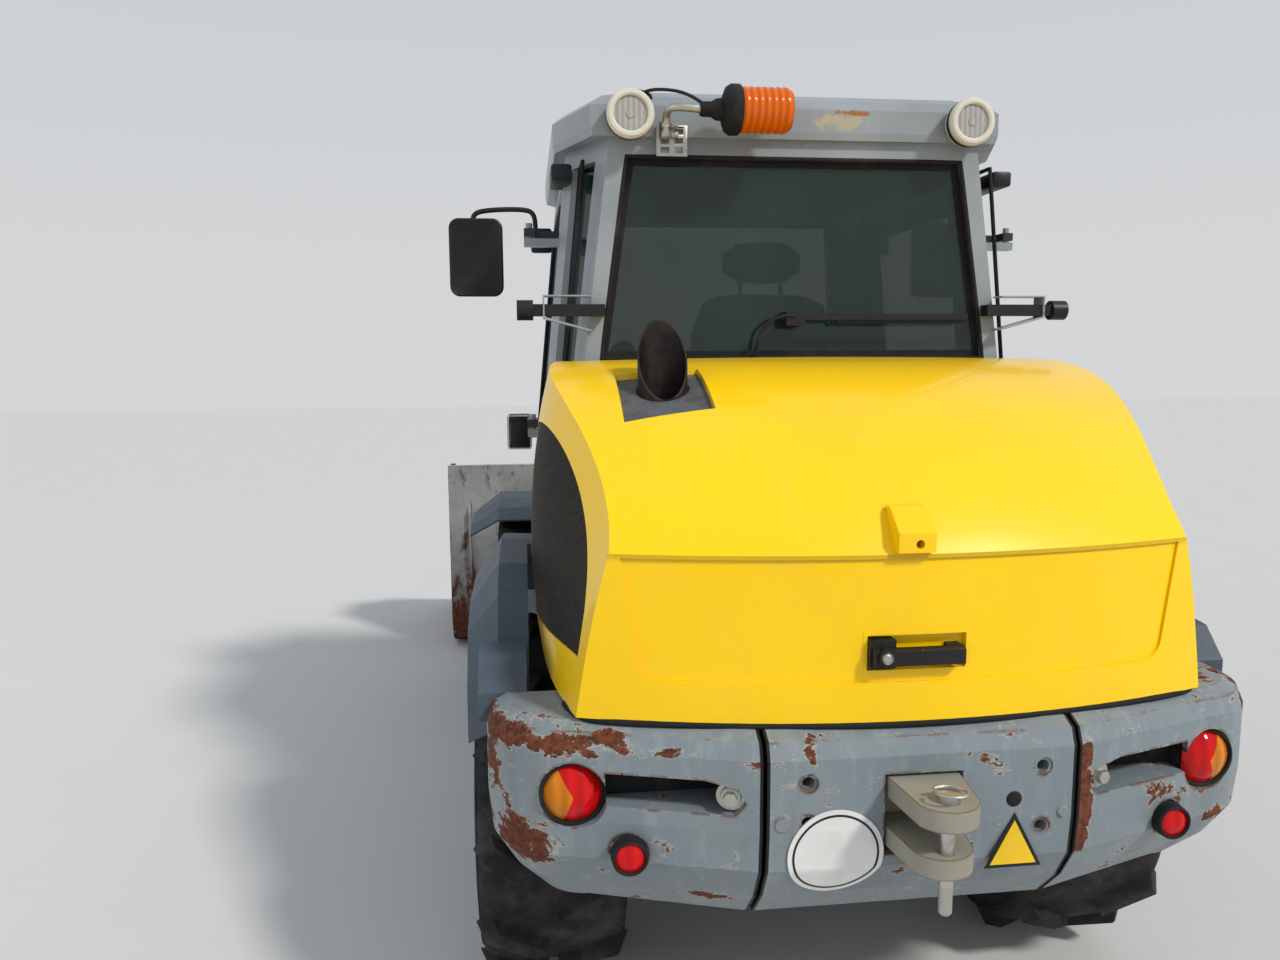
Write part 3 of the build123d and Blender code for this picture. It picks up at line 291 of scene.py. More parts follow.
def lens(name, color, rib_scale=180.0, glow=0.0, rough=0.12, coat=1.0):
    p = Paint(name, rough=rough, coat=coat, coat_rough=0.03, specular=0.12 + 0.6 * coat)
    ribs = p.tree.nodes.new("ShaderNodeTexWave")
    p.tree.links.new(p.place, ribs.inputs["Vector"])
    ribs.wave_type = "BANDS"
    ribs.inputs["Scale"].default_value = rib_scale / 20
    p.color(p.mix(ribs.outputs["Fac"], tuple(c * 0.72 for c in color), color))
    p.shader.inputs["Emission Color"].default_value = (*color, 1.0)
    p.shader.inputs["Emission Strength"].default_value = glow
    p.bump(ribs.outputs["Fac"], 0.25, 0.002)
    return p.material


def fabric(name, color):
    p = Paint(name, rough=0.9)
    weave = p.cells(420)
    p.color(p.mix(p.step(weave, 0.1, 0.6), color, tuple(c * 0.55 for c in color)))
    p.bump(weave, 0.3, 0.0015)
    return p.material


def perforated(name):
    """Dark sheet pierced in a fine regular pattern, for the hood's side grilles."""
    p = Paint(name, rough=0.6, specular=0.12)
    holes = p.cells(150, stretch=(0.2, 1.0, 1.0))
    p.color(p.mix(p.step(holes, 0.28, 0.4), (0.002, 0.002, 0.002), (0.026, 0.02, 0.015)))
    p.bump(p.step(holes, 0.2, 0.45), 0.6, 0.003)
    return p.material


def bucket_steel():
    """Grey paint mostly worn off, with brown rust in vertical runs and a dark lower part."""
    p = Paint("bucket_steel", rough=0.6)
    tone = p.mix(p.step(p.noise(5, 6, 0.7), 0.35, 0.65), (0.21, 0.22, 0.22), (0.3, 0.3, 0.29))
    runs = p.noise(10, 9, 0.75, stretch=(1.6, 1.6, 0.55), distortion=0.4)
    low = p.math("SUBTRACT", 1.0, p.step(p.axis("Z"), 0.12, 0.62))
    worn = p.math("ADD", p.math("MULTIPLY", low, 0.22), p.math("MULTIPLY", p.edges(0.01), 0.1))
    rust = p.step(p.math("ADD", runs, worn), 0.54, 0.66)
    p.color(p.mix(rust, tone, rust_color(p)))
    p.rough(p.blend(rust, 0.45, 0.85))
    p.bump(p.math("ADD", runs, p.noise(70, 5)), 0.35, 0.003)
    return p.material


def exhaust_metal():
    p = Paint("exhaust_metal", rough=0.55, metallic=0.3)
    pipe = p.mix(p.step(p.noise(14, 7, 0.7), 0.4, 0.65), (0.01, 0.008, 0.007), (0.034, 0.021, 0.016))
    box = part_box("tailpipe")
    middle = ((box[0].x + box[1].x + 0.008) / 2, box[1].y - 0.092)
    across = p.math("SUBTRACT", p.axis("X"), middle[0])
    forward = p.math("SUBTRACT", p.axis("Y"), middle[1])
    square = p.math("ADD", p.math("MULTIPLY", across, across), p.math("MULTIPLY", forward, forward))
    sheet = p.mix(p.step(p.noise(20, 7, 0.7), 0.4, 0.7), (0.13, 0.135, 0.14), (0.075, 0.07, 0.065))
    p.color(p.mix(p.step(square, 0.064 ** 2, 0.066 ** 2), pipe, sheet))
    p.bump(p.noise(80, 5), 0.25, 0.0015)
    return p.material


def floor_material():
    p = Paint("floor", rough=0.9)
    p.color(p.mix(p.noise(3, 4), (0.6, 0.59, 0.57), (0.63, 0.62, 0.6)))
    return p.material


M = {
    "yellow": yellow_paint(),
    "cast": cast_grey(),
    "frame_grey": painted("frame_paint", (0.13, 0.15, 0.165), (0.14, 0.07, 0.04), 0.5, 0.08, 0.35),
    "rim": painted("rim_paint", (0.29, 0.33, 0.345), (0.16, 0.08, 0.045), 0.45, 0.06, 0.35),
    "tyre": rubber(),
    "steel": metal("bright_steel", (0.55, 0.54, 0.52), 0.3, 0.35),
    "black_plastic": painted("black_plastic", (0.012, 0.012, 0.013), (0.03, 0.03, 0.03), 0.42, 0.0, 0.06,
                             0.2),
    "black_rubber": painted("black_rubber", (0.01, 0.01, 0.01), (0.03, 0.03, 0.03), 0.75, 0.0, 0.1, 0.2),
    "fender_plastic": painted("fender_plastic", (0.066, 0.088, 0.118), (0.18, 0.2, 0.22), 0.5, 0.05, 0.12,
                              0.35),
    "cab_grey": painted("cab_paint", (0.3, 0.33, 0.35), (0.2, 0.11, 0.05), 0.36, 0.03, 0.15, 0.1, 0.2,
                        [(0.12, 2.405, 0.13, 0.035, (0.42, 0.37, 0.24)),
                         (0.16, 2.43, 0.09, 0.012, (0.34, 0.13, 0.035))]),
    "cab_inside": painted("cab_lining", (0.035, 0.037, 0.04), (0.06, 0.06, 0.06), 0.7, 0.0, 0.1, 0.3),
    "glass": glass("cab_glass", (0.014, 0.032, 0.026), 0.58),
    "seat_fabric": fabric("seat_cloth", (0.035, 0.036, 0.04)),
    "lamp_white": lens("lamp_lens", (0.78, 0.78, 0.74), 260),
    "work_lens": lens("work_lens", (0.42, 0.4, 0.37), 420, 0.0, 0.08),
    "lamp_red": lens("red_lens", (0.6, 0.003, 0.004), 200, 0.05, 0.1, 0.15),
    "lamp_amber": lens("amber_lens", (0.72, 0.125, 0.002), 320, 0.06, 0.2, 0.15),
    "indicator": lens("indicator_lens", (0.62, 0.19, 0.003), 200, 0.05, 0.1, 0.15),
    "mesh": perforated("grille_mesh"),
    "exhaust": exhaust_metal(),
    "jaw": painted("jaw_paint", (0.31, 0.29, 0.235), (0.17, 0.08, 0.04), 0.6, 0.25, 0.25, 0.4),
    "bucket_steel": bucket_steel(),
    "mirror_glass": metal("mirror_silver", (0.16, 0.18, 0.19), 0.1, 0.06),
    "bolt": metal("zinc_bolt", (0.5, 0.49, 0.45), 0.4, 0.3),
    "white_print": painted("white_sheet", (0.8, 0.8, 0.78), (0.45, 0.42, 0.38), 0.4, 0.02, 0.12, 0.05),
    "yellow_print": painted("yellow_sheet", (0.95, 0.6, 0.02), (0.5, 0.35, 0.1), 0.4, 0.02, 0.08, 0.05),
    "ring_cream": painted("cream_plastic", (0.7, 0.66, 0.56), (0.4, 0.35, 0.28), 0.5, 0.02, 0.15, 0.1),
    "hydraulic": painted("hose_rubber", (0.014, 0.014, 0.014), (0.04, 0.04, 0.04), 0.6, 0.0, 0.15, 0.4),
    # Near-black door colour, a darker copy of the cab's grey, as painted shade of the cab's sides
    "door_paint": painted("door_paint", (0.03, 0.032, 0.034), (0.1, 0.1, 0.1), 0.38, 0.04, 0.1, 0.1),
    "floor": floor_material(),
}

for item in NODES.values():
    for place in item.material_slots:
        if place.material:
            base = place.material.name.split(".")[0]
            if base in M:
                place.material = M[base]
# The doors get the near-black colour: painted shade of the cab's sides
for side in ("left", "right"):
    for place in NODES[f"door_{side}"].material_slots:
        place.material = M["door_paint"]


# Camera, floor and light
CAMERA_PLACE = Vector((-0.7836, -4.2508, 1.75))
CAMERA_YAW, CAMERA_PITCH, CAMERA_ROLL = radians(6.708), radians(7.395), radians(-0.302)
camera_data = bpy.data.cameras.new("photo_camera")
camera_data.sensor_width = 36.0
camera_data.lens = 27.0
camera_data.clip_end = 100.0
camera = bpy.data.objects.new("photo_camera", camera_data)
bpy.context.collection.objects.link(camera)
forward = Vector((sin(CAMERA_YAW) * cos(CAMERA_PITCH), cos(CAMERA_YAW) * cos(CAMERA_PITCH),
                  -sin(CAMERA_PITCH)))
level_right = Vector((cos(CAMERA_YAW), -sin(CAMERA_YAW), 0.0))
level_up = level_right.cross(forward)
right = cos(CAMERA_ROLL) * level_right + sin(CAMERA_ROLL) * level_up
up = -sin(CAMERA_ROLL) * level_right + cos(CAMERA_ROLL) * level_up
camera.matrix_world = Matrix((
    (right.x, up.x, -forward.x, CAMERA_PLACE.x),
    (right.y, up.y, -forward.y, CAMERA_PLACE.y),
    (right.z, up.z, -forward.z, CAMERA_PLACE.z),
    (0.0, 0.0, 0.0, 1.0),
))
bpy.context.scene.camera = camera
bpy.context.scene.view_settings.view_transform = "Standard"

floor_mesh = bpy.data.meshes.new("floor")
floor_mesh.from_pydata([(-30, -30, 0), (30, -30, 0), (30, 30, 0), (-30, 30, 0)], [], [(0, 1, 2, 3)])
floor = bpy.data.objects.new("floor", floor_mesh)
bpy.context.collection.objects.link(floor)
floor_mesh.materials.append(M["floor"])

world = bpy.data.worlds.new("studio")
bpy.context.scene.world = world
world.use_nodes = True
sky = world.node_tree
height = sky.nodes.new("ShaderNodeSeparateXYZ")
sky.links.new(sky.nodes.new("ShaderNodeTexCoord").outputs["Generated"], height.inputs[0])
rise = sky.nodes.new("ShaderNodeMapRange")
rise.interpolation_type = "SMOOTHSTEP"
rise.inputs["From Min"].default_value = -0.05
rise.inputs["From Max"].default_value = 0.75
sky.links.new(height.outputs["Z"], rise.inputs["Value"])
tone = sky.nodes.new("ShaderNodeMix")
tone.data_type = "RGBA"
sky.links.new(rise.outputs["Result"], tone.inputs[0])
tone.inputs[6].default_value = (0.92, 0.93, 0.94, 1.0)
tone.inputs[7].default_value = (0.72, 0.79, 0.88, 1.0)
sky.links.new(tone.outputs[2], sky.nodes["Background"].inputs["Color"])
sky.nodes["Background"].inputs["Strength"].default_value = 0.72
for name, kind, place, size, power, tint in (
    ("key", "SUN", (4.17, -6.06, 6.45), radians(7), 2.3, (1.0, 0.97, 0.92)),
    ("fill", "AREA", (-7.0, -4.0, 4.0), 5.0, 60, (0.92, 0.96, 1.0)),
):
    lamp = bpy.data.lights.new(name, kind)
    if kind == "SUN":
        lamp.angle = size
    else:
        lamp.size = size
    lamp.energy = power
    lamp.color = tint
    lamp_object = bpy.data.objects.new(name, lamp)
    lamp_object.location = place
    aim = Vector((0, -1.5, 0.9)) if kind == "SUN" else Vector((0, -0.5, 1.0))
    lamp_object.rotation_euler = (aim - Vector(place)).to_track_quat("-Z", "Y").to_euler()
    bpy.context.collection.objects.link(lamp_object)

# Shape helpers


def along(distance):
    """Row position of a distance in front of the counterweight's rear face, in metres."""
    return REAR + distance


def route(points):
    """Places of (x, distance in front of the counterweight's rear face, z) points."""
    return [(x, along(distance), z) for x, distance, z in points]


def make(name, bm, material, body="machine", smooth=True):
    """Turns a bmesh into a piece that rides on a body."""
    bmesh.ops.recalc_face_normals(bm, faces=bm.faces)
    mesh = bpy.data.meshes.new(name)
    bm.to_mesh(mesh)
    bm.free()
    for face in mesh.polygons:
        face.use_smooth = smooth
    mesh.materials.append(material)
    piece = bpy.data.objects.new(name, mesh)
    bpy.context.collection.objects.link(piece)
    if smooth:
        piece.modifiers.new("hard_edges", "EDGE_SPLIT").split_angle = radians(38)
    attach(piece, body)
    return piece


def frame_at(place, direction):
    """Matrix with its z axis along a direction and its x axis as level as can be."""
    z = Vector(direction).normalized()
    side = Vector((0, 0, 1)).cross(z)
    x = side.normalized() if side.length > 1e-4 else Vector((1, 0, 0))
    y = z.cross(x)
    return Matrix((
        (x.x, y.x, z.x, place[0]),
        (x.y, y.y, z.y, place[1]),
        (x.z, y.z, z.z, place[2]),
        (0, 0, 0, 1),
    ))


def add_turned(bm, profile, matrix, segments=32, close=False):
    """Adds a surface of revolution about the matrix's z axis through (radius, height) points."""
    rings = []
    for radius, height in profile:
        if radius < 1e-6:
            rings.append([bm.verts.new(matrix @ Vector((0, 0, height)))] * segments)
        else:
            angles = [2 * pi * i / segments for i in range(segments)]
            rings.append([bm.verts.new(matrix @ Vector((radius * cos(a), radius * sin(a), height)))
                          for a in angles])
    pairs = list(zip(rings, rings[1:])) + ([(rings[-1], rings[0])] if close else [])
    for low, high in pairs:
        for i in range(segments):
            j = (i + 1) % segments
            corners = [low[i], low[j], high[j], high[i]]
            unique = [v for k, v in enumerate(corners) if v not in corners[:k]]
            if len(unique) > 2:
                bm.faces.new(unique)


def add_box(bm, low, high, matrix=None, bevel=0.0):
    """Adds a box between two corners, with its edges rounded by bevel."""
    part = bmesh.new()
    bmesh.ops.create_cube(part, size=1.0)
    size = [h - l for l, h in zip(low, high)]
    middle = [(h + l) / 2 for l, h in zip(low, high)]
    for v in part.verts:
        v.co = Vector([c * s + m for c, s, m in zip(v.co, size, middle)])
    if bevel:
        bmesh.ops.bevel(part, geom=part.edges[:], offset=bevel, segments=2, affect="EDGES", profile=0.5)
    if matrix:
        bmesh.ops.transform(part, matrix=matrix, verts=part.verts)
    join(bm, part)


def join(bm, part):
    """Moves the geometry of one bmesh into another."""
    mesh = bpy.data.meshes.new("part")
    part.to_mesh(mesh)
    part.free()
    bm.from_mesh(mesh)
    bpy.data.meshes.remove(mesh)


def add_prism(bm, outline, matrix, depth, bevel=0.0):
    """Adds a plate from an outline in the matrix's xy plane, from z 0 to depth."""
    part = bmesh.new()
    low = [part.verts.new((x, y, 0)) for x, y in outline]
    high = [part.verts.new((x, y, depth)) for x, y in outline]
    part.faces.new(low)
    part.faces.new(high)
    for i in range(len(outline)):
        j = (i + 1) % len(outline)
        part.faces.new((low[i], low[j], high[j], high[i]))
    bmesh.ops.recalc_face_normals(part, faces=part.faces)
    if bevel:
        rim = [e for e in part.edges if all(v in high for v in e.verts)]
        bmesh.ops.bevel(part, geom=rim, offset=bevel, segments=2, affect="EDGES", profile=0.5)
    bmesh.ops.transform(part, matrix=matrix, verts=part.verts)
    join(bm, part)


def span(sign, near, far):
    """Low and high x of a part between two distances on one side of the machine."""
    return min(sign * near, sign * far), max(sign * near, sign * far)


def rounded(half_width, half_height, radius):
    """Points around a rectangle with round corners."""
    points = []
    for x, z, start in ((1, 1, 0), (-1, 1, 90), (-1, -1, 180), (1, -1, 270)):
        for turn in range(start, start + 91, 15):
            points.append((x * (half_width - radius) + radius * cos(radians(turn)),
                           z * (half_height - radius) + radius * sin(radians(turn))))
    return points


def add_bolt(bm, place, direction, size=0.012, height=0.009):
    """Adds a washer and a hexagon head that stand on a surface."""
    matrix = frame_at(place, direction)
    add_turned(bm, [(0, 0.002), (size * 1.25, 0.002), (size * 1.25, -0.002)], matrix, 20)
    corners = [(size * cos(radians(60 * i)), size * sin(radians(60 * i))) for i in range(6)]
    add_prism(bm, corners, matrix @ Matrix.Translation((0, 0, 0.002)), height, 0.0012)


def tube(name, points, radius, material, body="machine"):
    """A round tube or hose along smooth points."""
    curve = bpy.data.curves.new(name, "CURVE")
    curve.dimensions = "3D"
    curve.bevel_depth = radius
    curve.bevel_resolution = 4
    curve.resolution_u = 10
    curve.use_fill_caps = True
    line = curve.splines.new("NURBS")
    line.points.add(len(points) - 1)
    for spot, place in zip(line.points, points):
        spot.co = (*place, 1.0)
    line.order_u = 4 if len(points) > 3 else 3 if len(points) > 2 else 2
    line.use_endpoint_u = True
    curve.materials.append(material)
    piece = bpy.data.objects.new(name, curve)
    bpy.context.collection.objects.link(piece)
    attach(piece, body)
    return piece


# Tyres
TYRE_PROFILE = [(0.236, -0.139), (0.25, -0.15), (0.285, -0.178), (0.33, -0.194), (0.372, -0.197),
                (0.41, -0.193), (0.44, -0.183), (0.456, -0.166), (0.465, -0.14), (0.468, -0.07),
                (0.47, 0.0)]


def tyre_piece(place, sign, middle_y):
    """Tractor-pattern tyre with ribbed sidewalls, where its CAD node is."""
    bm = bmesh.new()
    profile = TYRE_PROFILE + [(r, -x) for r, x in reversed(TYRE_PROFILE[:-1])]
    middle = Matrix.Translation((sign * WHEEL_X, middle_y, WHEEL_Z))
    turn = middle @ QUARTER_TURN_Y
    add_turned(bm, profile, turn, 96, close=True)
    for ring, width, x in ((0.3, 0.004, 0.187), (0.345, 0.003, 0.197), (0.425, 0.004, 0.189)):
        for side in (-1, 1):
            rib = [(ring - width, side * (x - 0.004)), (ring - width * 0.5, side * (x + 0.002)),
                   (ring + width * 0.5, side * (x + 0.002)), (ring + width, side * (x - 0.004))]
            add_turned(bm, rib, turn, 96)
    for side in (-1, 1):
        for index in range(12):
            lug = bmesh.new()
            low = [(0.008, -0.036), (0.199, -0.036), (0.199, 0.036), (0.008, 0.036)]
            heights = (0.455, 0.432, 0.432, 0.455)
            tops = ((0.012, -0.024, 0.4965), (0.17, -0.026, 0.4925),
                    (0.17, 0.026, 0.4925), (0.012, 0.024, 0.4965))
            base = [lug.verts.new((x, y, h)) for (x, y), h in zip(low, heights)]
            crown = [lug.verts.new(t) for t in tops]
            lug.faces.new(base)
            lug.faces.new(crown)
            for i in range(4):
                j = (i + 1) % 4
                lug.faces.new((base[i], base[j], crown[j], crown[i]))
            bmesh.ops.recalc_face_normals(lug, faces=lug.faces)
            bmesh.ops.bevel(lug, geom=lug.edges[:], offset=0.004, segments=2, affect="EDGES", profile=0.5)
            tilt = Matrix.Rotation(radians(36), 4, "Z")
            lean = Matrix.Translation((0.1, 0, 0)) @ tilt @ Matrix.Translation((-0.1, 0, 0))
            spin = Matrix.Rotation(2 * pi * (index + (0.5 if side < 0 else 0.0)) / 12, 4, "X")
            flip = Matrix.Diagonal((side, 1, 1, 1))
            whole = middle @ Matrix.Diagonal((sign, 1, 1, 1)) @ spin @ flip @ lean
            bmesh.ops.transform(lug, matrix=whole, verts=lug.verts)
            join(bm, lug)
    piece = make(f"tread_{place}", bm, M["tyre"], f"wheel_{place}")
    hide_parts(f"tyre_{place}")


WHEELS = {}


def bolt_circle(bm, place, count, radius, offset, size, height):
    """Adds a circle of bolts on the outer side of a wheel."""
    sign, middle_y = WHEELS[place]
    for index in range(count):
        angle = 2 * pi * index / count
        spot = (sign * (WHEEL_X + offset), middle_y + radius * cos(angle), WHEEL_Z + radius * sin(angle))
        add_bolt(bm, spot, (sign, 0, 0), size, height)


for place, sign in (("front_left", -1), ("front_right", 1), ("rear_left", -1), ("rear_right", 1)):
    low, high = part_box(f"tyre_{place}")
    WHEELS[place] = (sign, (low[1] + high[1]) / 2)
    tyre_piece(place, sign, WHEELS[place][1])
    nuts = bmesh.new()
    bolt_circle(nuts, place, 10, 0.13, 0.024, 0.013, 0.014)
    make(f"wheel_nuts_{place}", nuts, M["bolt"], f"wheel_{place}")


# Counterweight details
SIDE_SLOPE = 0.298


def weight_face(x):
    """Row position of the counterweight's rear face at a distance from the middle."""
    return along(max(0.0, (abs(x) - SEAM) * SIDE_SLOPE))


def bend_under(bm):
    """Moves a plate's lower part forward, so that it follows the counterweight's lower slopes."""
    for v in bm.verts:
        v.co.y += 0.008 * min(1.0, max(0.0, (0.8 - v.co.z) / 0.085)) + 0.587 * max(0.0, 0.715 - v.co.z)


# Blank disc of three rings, bent with the casting, and blank triangle on its border
PLATE_FACE = REAR - 0.001
for name, profile, material, slot in (
    ("blank_disc", [(0.0043 * step, 0.003) for step in range(21)] + [(0.086, 0.0)], "white_print",
     "lamp_white"),
    ("disc_ring", [(0.086, 0.0), (0.086, 0.0036), (0.0905, 0.0036), (0.0905, 0.0)], "black_plastic",
     "black_plastic"),
    ("disc_edge", [(0.0905, 0.0), (0.0905, 0.003), (0.1, 0.003), (0.1, 0.0)], "white_print", "lamp_white"),
):
    disc = bmesh.new()
    add_turned(disc, profile, frame_at((-0.1814, PLATE_FACE, 0.745), BACKWARD), 64)
    bend_under(disc)
    make(name, disc, M[material])
for name, outline, thick, material, slot in (
    ("blank_triangle_border", [(-0.062, 0.0), (0.062, 0.0), (0.0, 0.118)], 0.0012, "black_plastic",
     "black_plastic"),
    ("blank_triangle", [(-0.05, 0.007), (0.05, 0.007), (0.0, 0.102)], 0.0018, "yellow_print", "yellow"),
):
    triangle = bmesh.new()
    add_prism(triangle, outline, Matrix.Translation((0.1955, PLATE_FACE, 0.697)) @ QUARTER_TURN_X, thick)
    make(name, triangle, M[material])

plugs = bmesh.new()
for x, z, size in ((-0.2923, 0.8213, 0.02), (0.2992, 0.811, 0.013)):
    add_turned(plugs, [(0, 0.004), (size * 0.8, 0.004), (size, 0.0)], frame_at((x, REAR, z), BACKWARD), 24)
make("grey_plugs", plugs, M["cast"])
dark_plug = bmesh.new()
matrix = frame_at((0.193, REAR, 0.844), BACKWARD)
add_turned(dark_plug, [(0, 0.003), (0.013, 0.003), (0.017, 0.0)], matrix, 24)
make("black_plug", dark_plug, M["black_rubber"])

fixings = bmesh.new()
for sign in (-1, 1):
    x = sign * 0.392
    spot = Vector((x, weight_face(x) + 0.012, 0.872))
    outward = Vector((sign * 0.2856, -0.9583, 0))
    add_turned(fixings, [(0, -0.02), (0.024, -0.02), (0.024, -0.004), (0.03, -0.004), (0.03, 0.0),
                         (0.022, 0.0), (0.02, 0.006), (0.0, 0.006)], frame_at(spot, outward), 28)
    add_bolt(fixings, spot + 0.006 * outward, outward, 0.015, 0.013)
make("slot_bolts", fixings, M["bolt"])

# Rubber seal between the hood and the counterweight
HOOD_TURN = 2.203


def hood_rear(x):
    """Row position of the hood's rear face at a distance from the middle."""
    return along(0.03 + HOOD_TURN - (HOOD_TURN ** 2 - x ** 2) ** 0.5)


SEAL_Z = 1.0035
seal_rear = [(x / 100, hood_rear(x / 100) + 0.004, SEAL_Z) for x in range(-66, 67, 11)]
seal_left = [(-0.713, along(0.24), SEAL_Z), (-0.697, along(0.16), SEAL_Z)]
seal_right = [(-x, y, z) for x, y, z in reversed(seal_left)]
tube("hood_seal", seal_left + seal_rear + seal_right, 0.0085, M["black_rubber"])

# Black sheets inside the slots beside the tail lamps, as painted shade in their depth
SLOT_OUTLINE = [(0.64, 0.905), (0.445, 0.905), (0.38, 0.89), (0.365, 0.86), (0.385, 0.835), (0.64, 0.835)]
slot_shade_sheet = bmesh.new()
for sign in (-1, 1):
    mouth = [slot_shade_sheet.verts.new((sign * x, weight_face(x) + 0.014, z)) for x, z in SLOT_OUTLINE]
    bottom = [slot_shade_sheet.verts.new((sign * x, along(0.148), z)) for x, z in SLOT_OUTLINE]
    slot_shade_sheet.faces.new(bottom)
    for i in range(len(mouth)):
        j = (i + 1) % len(mouth)
        slot_shade_sheet.faces.new((mouth[i], mouth[j], bottom[j], bottom[i]))
bmesh.ops.scale(slot_shade_sheet, vec=(0.999, 1.0, 0.999), verts=slot_shade_sheet.verts)
make("slot_shade_sheet", slot_shade_sheet, M["black_rubber"], smooth=False)


# Tail lamps, reflectors and work lamps
def lens_profile(radius, depth):
    """Domed lens from its middle to its edge, as (radius, height) points."""
    steps = 10
    dome = [(radius * i / steps, depth * (1 - (i / steps) ** 2.4)) for i in range(steps + 1)]
    return dome + [(radius, -0.006)]


# Angles of the tail lamp's amber part, from the inner side of the left lamp, in degrees
WEDGE = (122, 250)


def add_lens(bm, matrix, radius, depth, outward=0, segments=72):
    """Domed lens. Where it has an outward side, its faces in the wedge get the second material."""
    first = len(bm.faces)
    add_turned(bm, lens_profile(radius, depth), matrix, segments)
    bm.faces.ensure_lookup_table()
    back = matrix.inverted()
    for face in bm.faces[first:]:
        spot = back @ face.calc_center_median()
        angle = degrees(atan2(spot.y, spot.x * outward)) % 360
        if outward and WEDGE[0] <= angle <= WEDGE[1]:
            face.material_index = 1


LAMP_PLACE = (0.705, 0.852)
REFLECTOR_PLACE = (0.593, 0.739)
tail_lenses = bmesh.new()
tail_rims = bmesh.new()
for sign in (-1, 1):
    matrix = frame_at((sign * LAMP_PLACE[0], along(0.127), LAMP_PLACE[1]), BACKWARD)
    add_lens(tail_lenses, matrix, 0.061, 0.026, -sign)
    add_turned(tail_rims, [(0.0605, -0.01), (0.0605, 0.004), (0.063, 0.008), (0.067, 0.008), (0.0695, 0.003),
                           (0.0695, -0.03)], matrix, 64)
    matrix = frame_at((sign * REFLECTOR_PLACE[0], along(0.056), REFLECTOR_PLACE[1]), BACKWARD)
    add_lens(tail_lenses, matrix, 0.031, 0.008)
    add_turned(tail_rims, [(0.0305, -0.01), (0.0305, 0.004), (0.033, 0.007), (0.0375, 0.004),
                           (0.0395, -0.02)], matrix, 48)
lens_piece = make("tail_lenses", tail_lenses, M["lamp_red"])
lens_piece.data.materials.append(M["indicator"])
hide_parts("rear_lamps")
make("tail_lamp_rims", tail_rims, M["black_rubber"])

# Pairs of work lamps, as (half gap, distance of the face, z, way they face)
WORK_LAMPS = [(0.487, 0.931, 2.402, -1), (0.5, 2.464, 2.4, 1)]
lamp_rings, lamp_shells, lamp_glass = bmesh.new(), bmesh.new(), bmesh.new()
for half_gap, face_along, z, way in WORK_LAMPS:
    for sign in (-1, 1):
        matrix = frame_at((sign * half_gap, along(face_along), z), (0, way, 0))
        add_turned(lamp_rings, [(0.047, -0.002), (0.047, 0.008), (0.052, 0.011), (0.06, 0.01),
                                (0.0655, 0.003), (0.0655, -0.01)], matrix, 64)
        add_turned(lamp_shells, [(0.0655, -0.01), (0.0655, -0.028), (0.055, -0.04), (0.03, -0.047),
                                 (0.0, -0.047)], matrix, 48)
        add_turned(lamp_glass, [(0, 0.006), (0.012, 0.006), (0.014, 0.003), (0.03, 0.0045), (0.047, 0.002)],
                   matrix, 48)
make("work_lamp_rings", lamp_rings, M["ring_cream"])
make("work_lamp_shells", lamp_shells, M["black_plastic"])
make("work_lamp_lenses", lamp_glass, M["work_lens"])

# Housings of the headlamps, open at their lenses
head_shells, head_lenses = bmesh.new(), bmesh.new()
for sign in (-1, 1):
    low_x, high_x = span(sign, 0.763, 0.867)
    add_box(head_shells, (low_x, along(2.358), 1.353), (high_x, along(2.452), 1.502), bevel=0.012)
    low_x, high_x = low_x + 0.012, high_x - 0.012
    add_box(head_shells, (low_x, along(2.335), 1.383), (high_x, along(2.36), 1.472), bevel=0.008)
    add_box(head_lenses, (low_x, along(2.45), 1.365), (high_x, along(2.463), 1.49), bevel=0.006)
make("headlamp_shells", head_shells, M["black_plastic"])
make("headlamp_lenses", head_lenses, M["work_lens"])

# Beacon: ribbed amber dome on a black base, lying on its side on a bent tube
BEACON = (along(0.88), 2.405)
BEACON_AXIS = Matrix.Translation((0, *BEACON)) @ QUARTER_TURN_Y
dome = bmesh.new()
ribs = []
for index in range(7):
    x = -0.196 + 0.018 * index
    ribs += [(0.058, x), (0.058, x + 0.004), (0.06, x + 0.007), (0.06, x + 0.014), (0.058, x + 0.0175)]
add_turned(dome, ribs + [(0.058, -0.068), (0.052, -0.058), (0.035, -0.0545), (0.0, -0.054)], BEACON_AXIS, 64)
dome_piece = make("beacon_dome", dome, M["lamp_amber"])
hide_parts("beacon")
base = bmesh.new()
add_turned(base, [(0.0, -0.243), (0.04, -0.243), (0.058, -0.236), (0.066, -0.224), (0.066, -0.202),
                  (0.0615, -0.196), (0.0, -0.196)], BEACON_AXIS, 56)
add_turned(base, [(0.0, -0.305), (0.017, -0.305), (0.02, -0.298), (0.02, -0.275), (0.028, -0.262),
                  (0.03, -0.243)], BEACON_AXIS, 40)
make("beacon_base", base, M["black_rubber"])
tube("beacon_tube", route([
    (-0.29, 0.88, 2.405), (-0.33, 0.88, 2.407), (-0.365, 0.885, 2.412), (-0.385, 0.905, 2.412),
    (-0.388, 0.93, 2.405), (-0.388, 0.95, 2.385), (-0.388, 0.955, 2.35),
]), 0.011, M["bolt"])
clamp = bmesh.new()
for z in (2.352, 2.378):
    add_turned(clamp, [(0.012, -0.007), (0.017, -0.007), (0.017, 0.007), (0.012, 0.007)],
               Matrix.Translation((-0.388, along(0.955), z)), 28, close=True)
    add_box(clamp, (-0.372, along(0.948), z - 0.006), (-0.352, along(0.962), z + 0.006), bevel=0.002)
    add_bolt(clamp, (-0.36, along(0.948), z), BACKWARD, 0.006, 0.006)
make("beacon_clamps", clamp, M["bolt"])

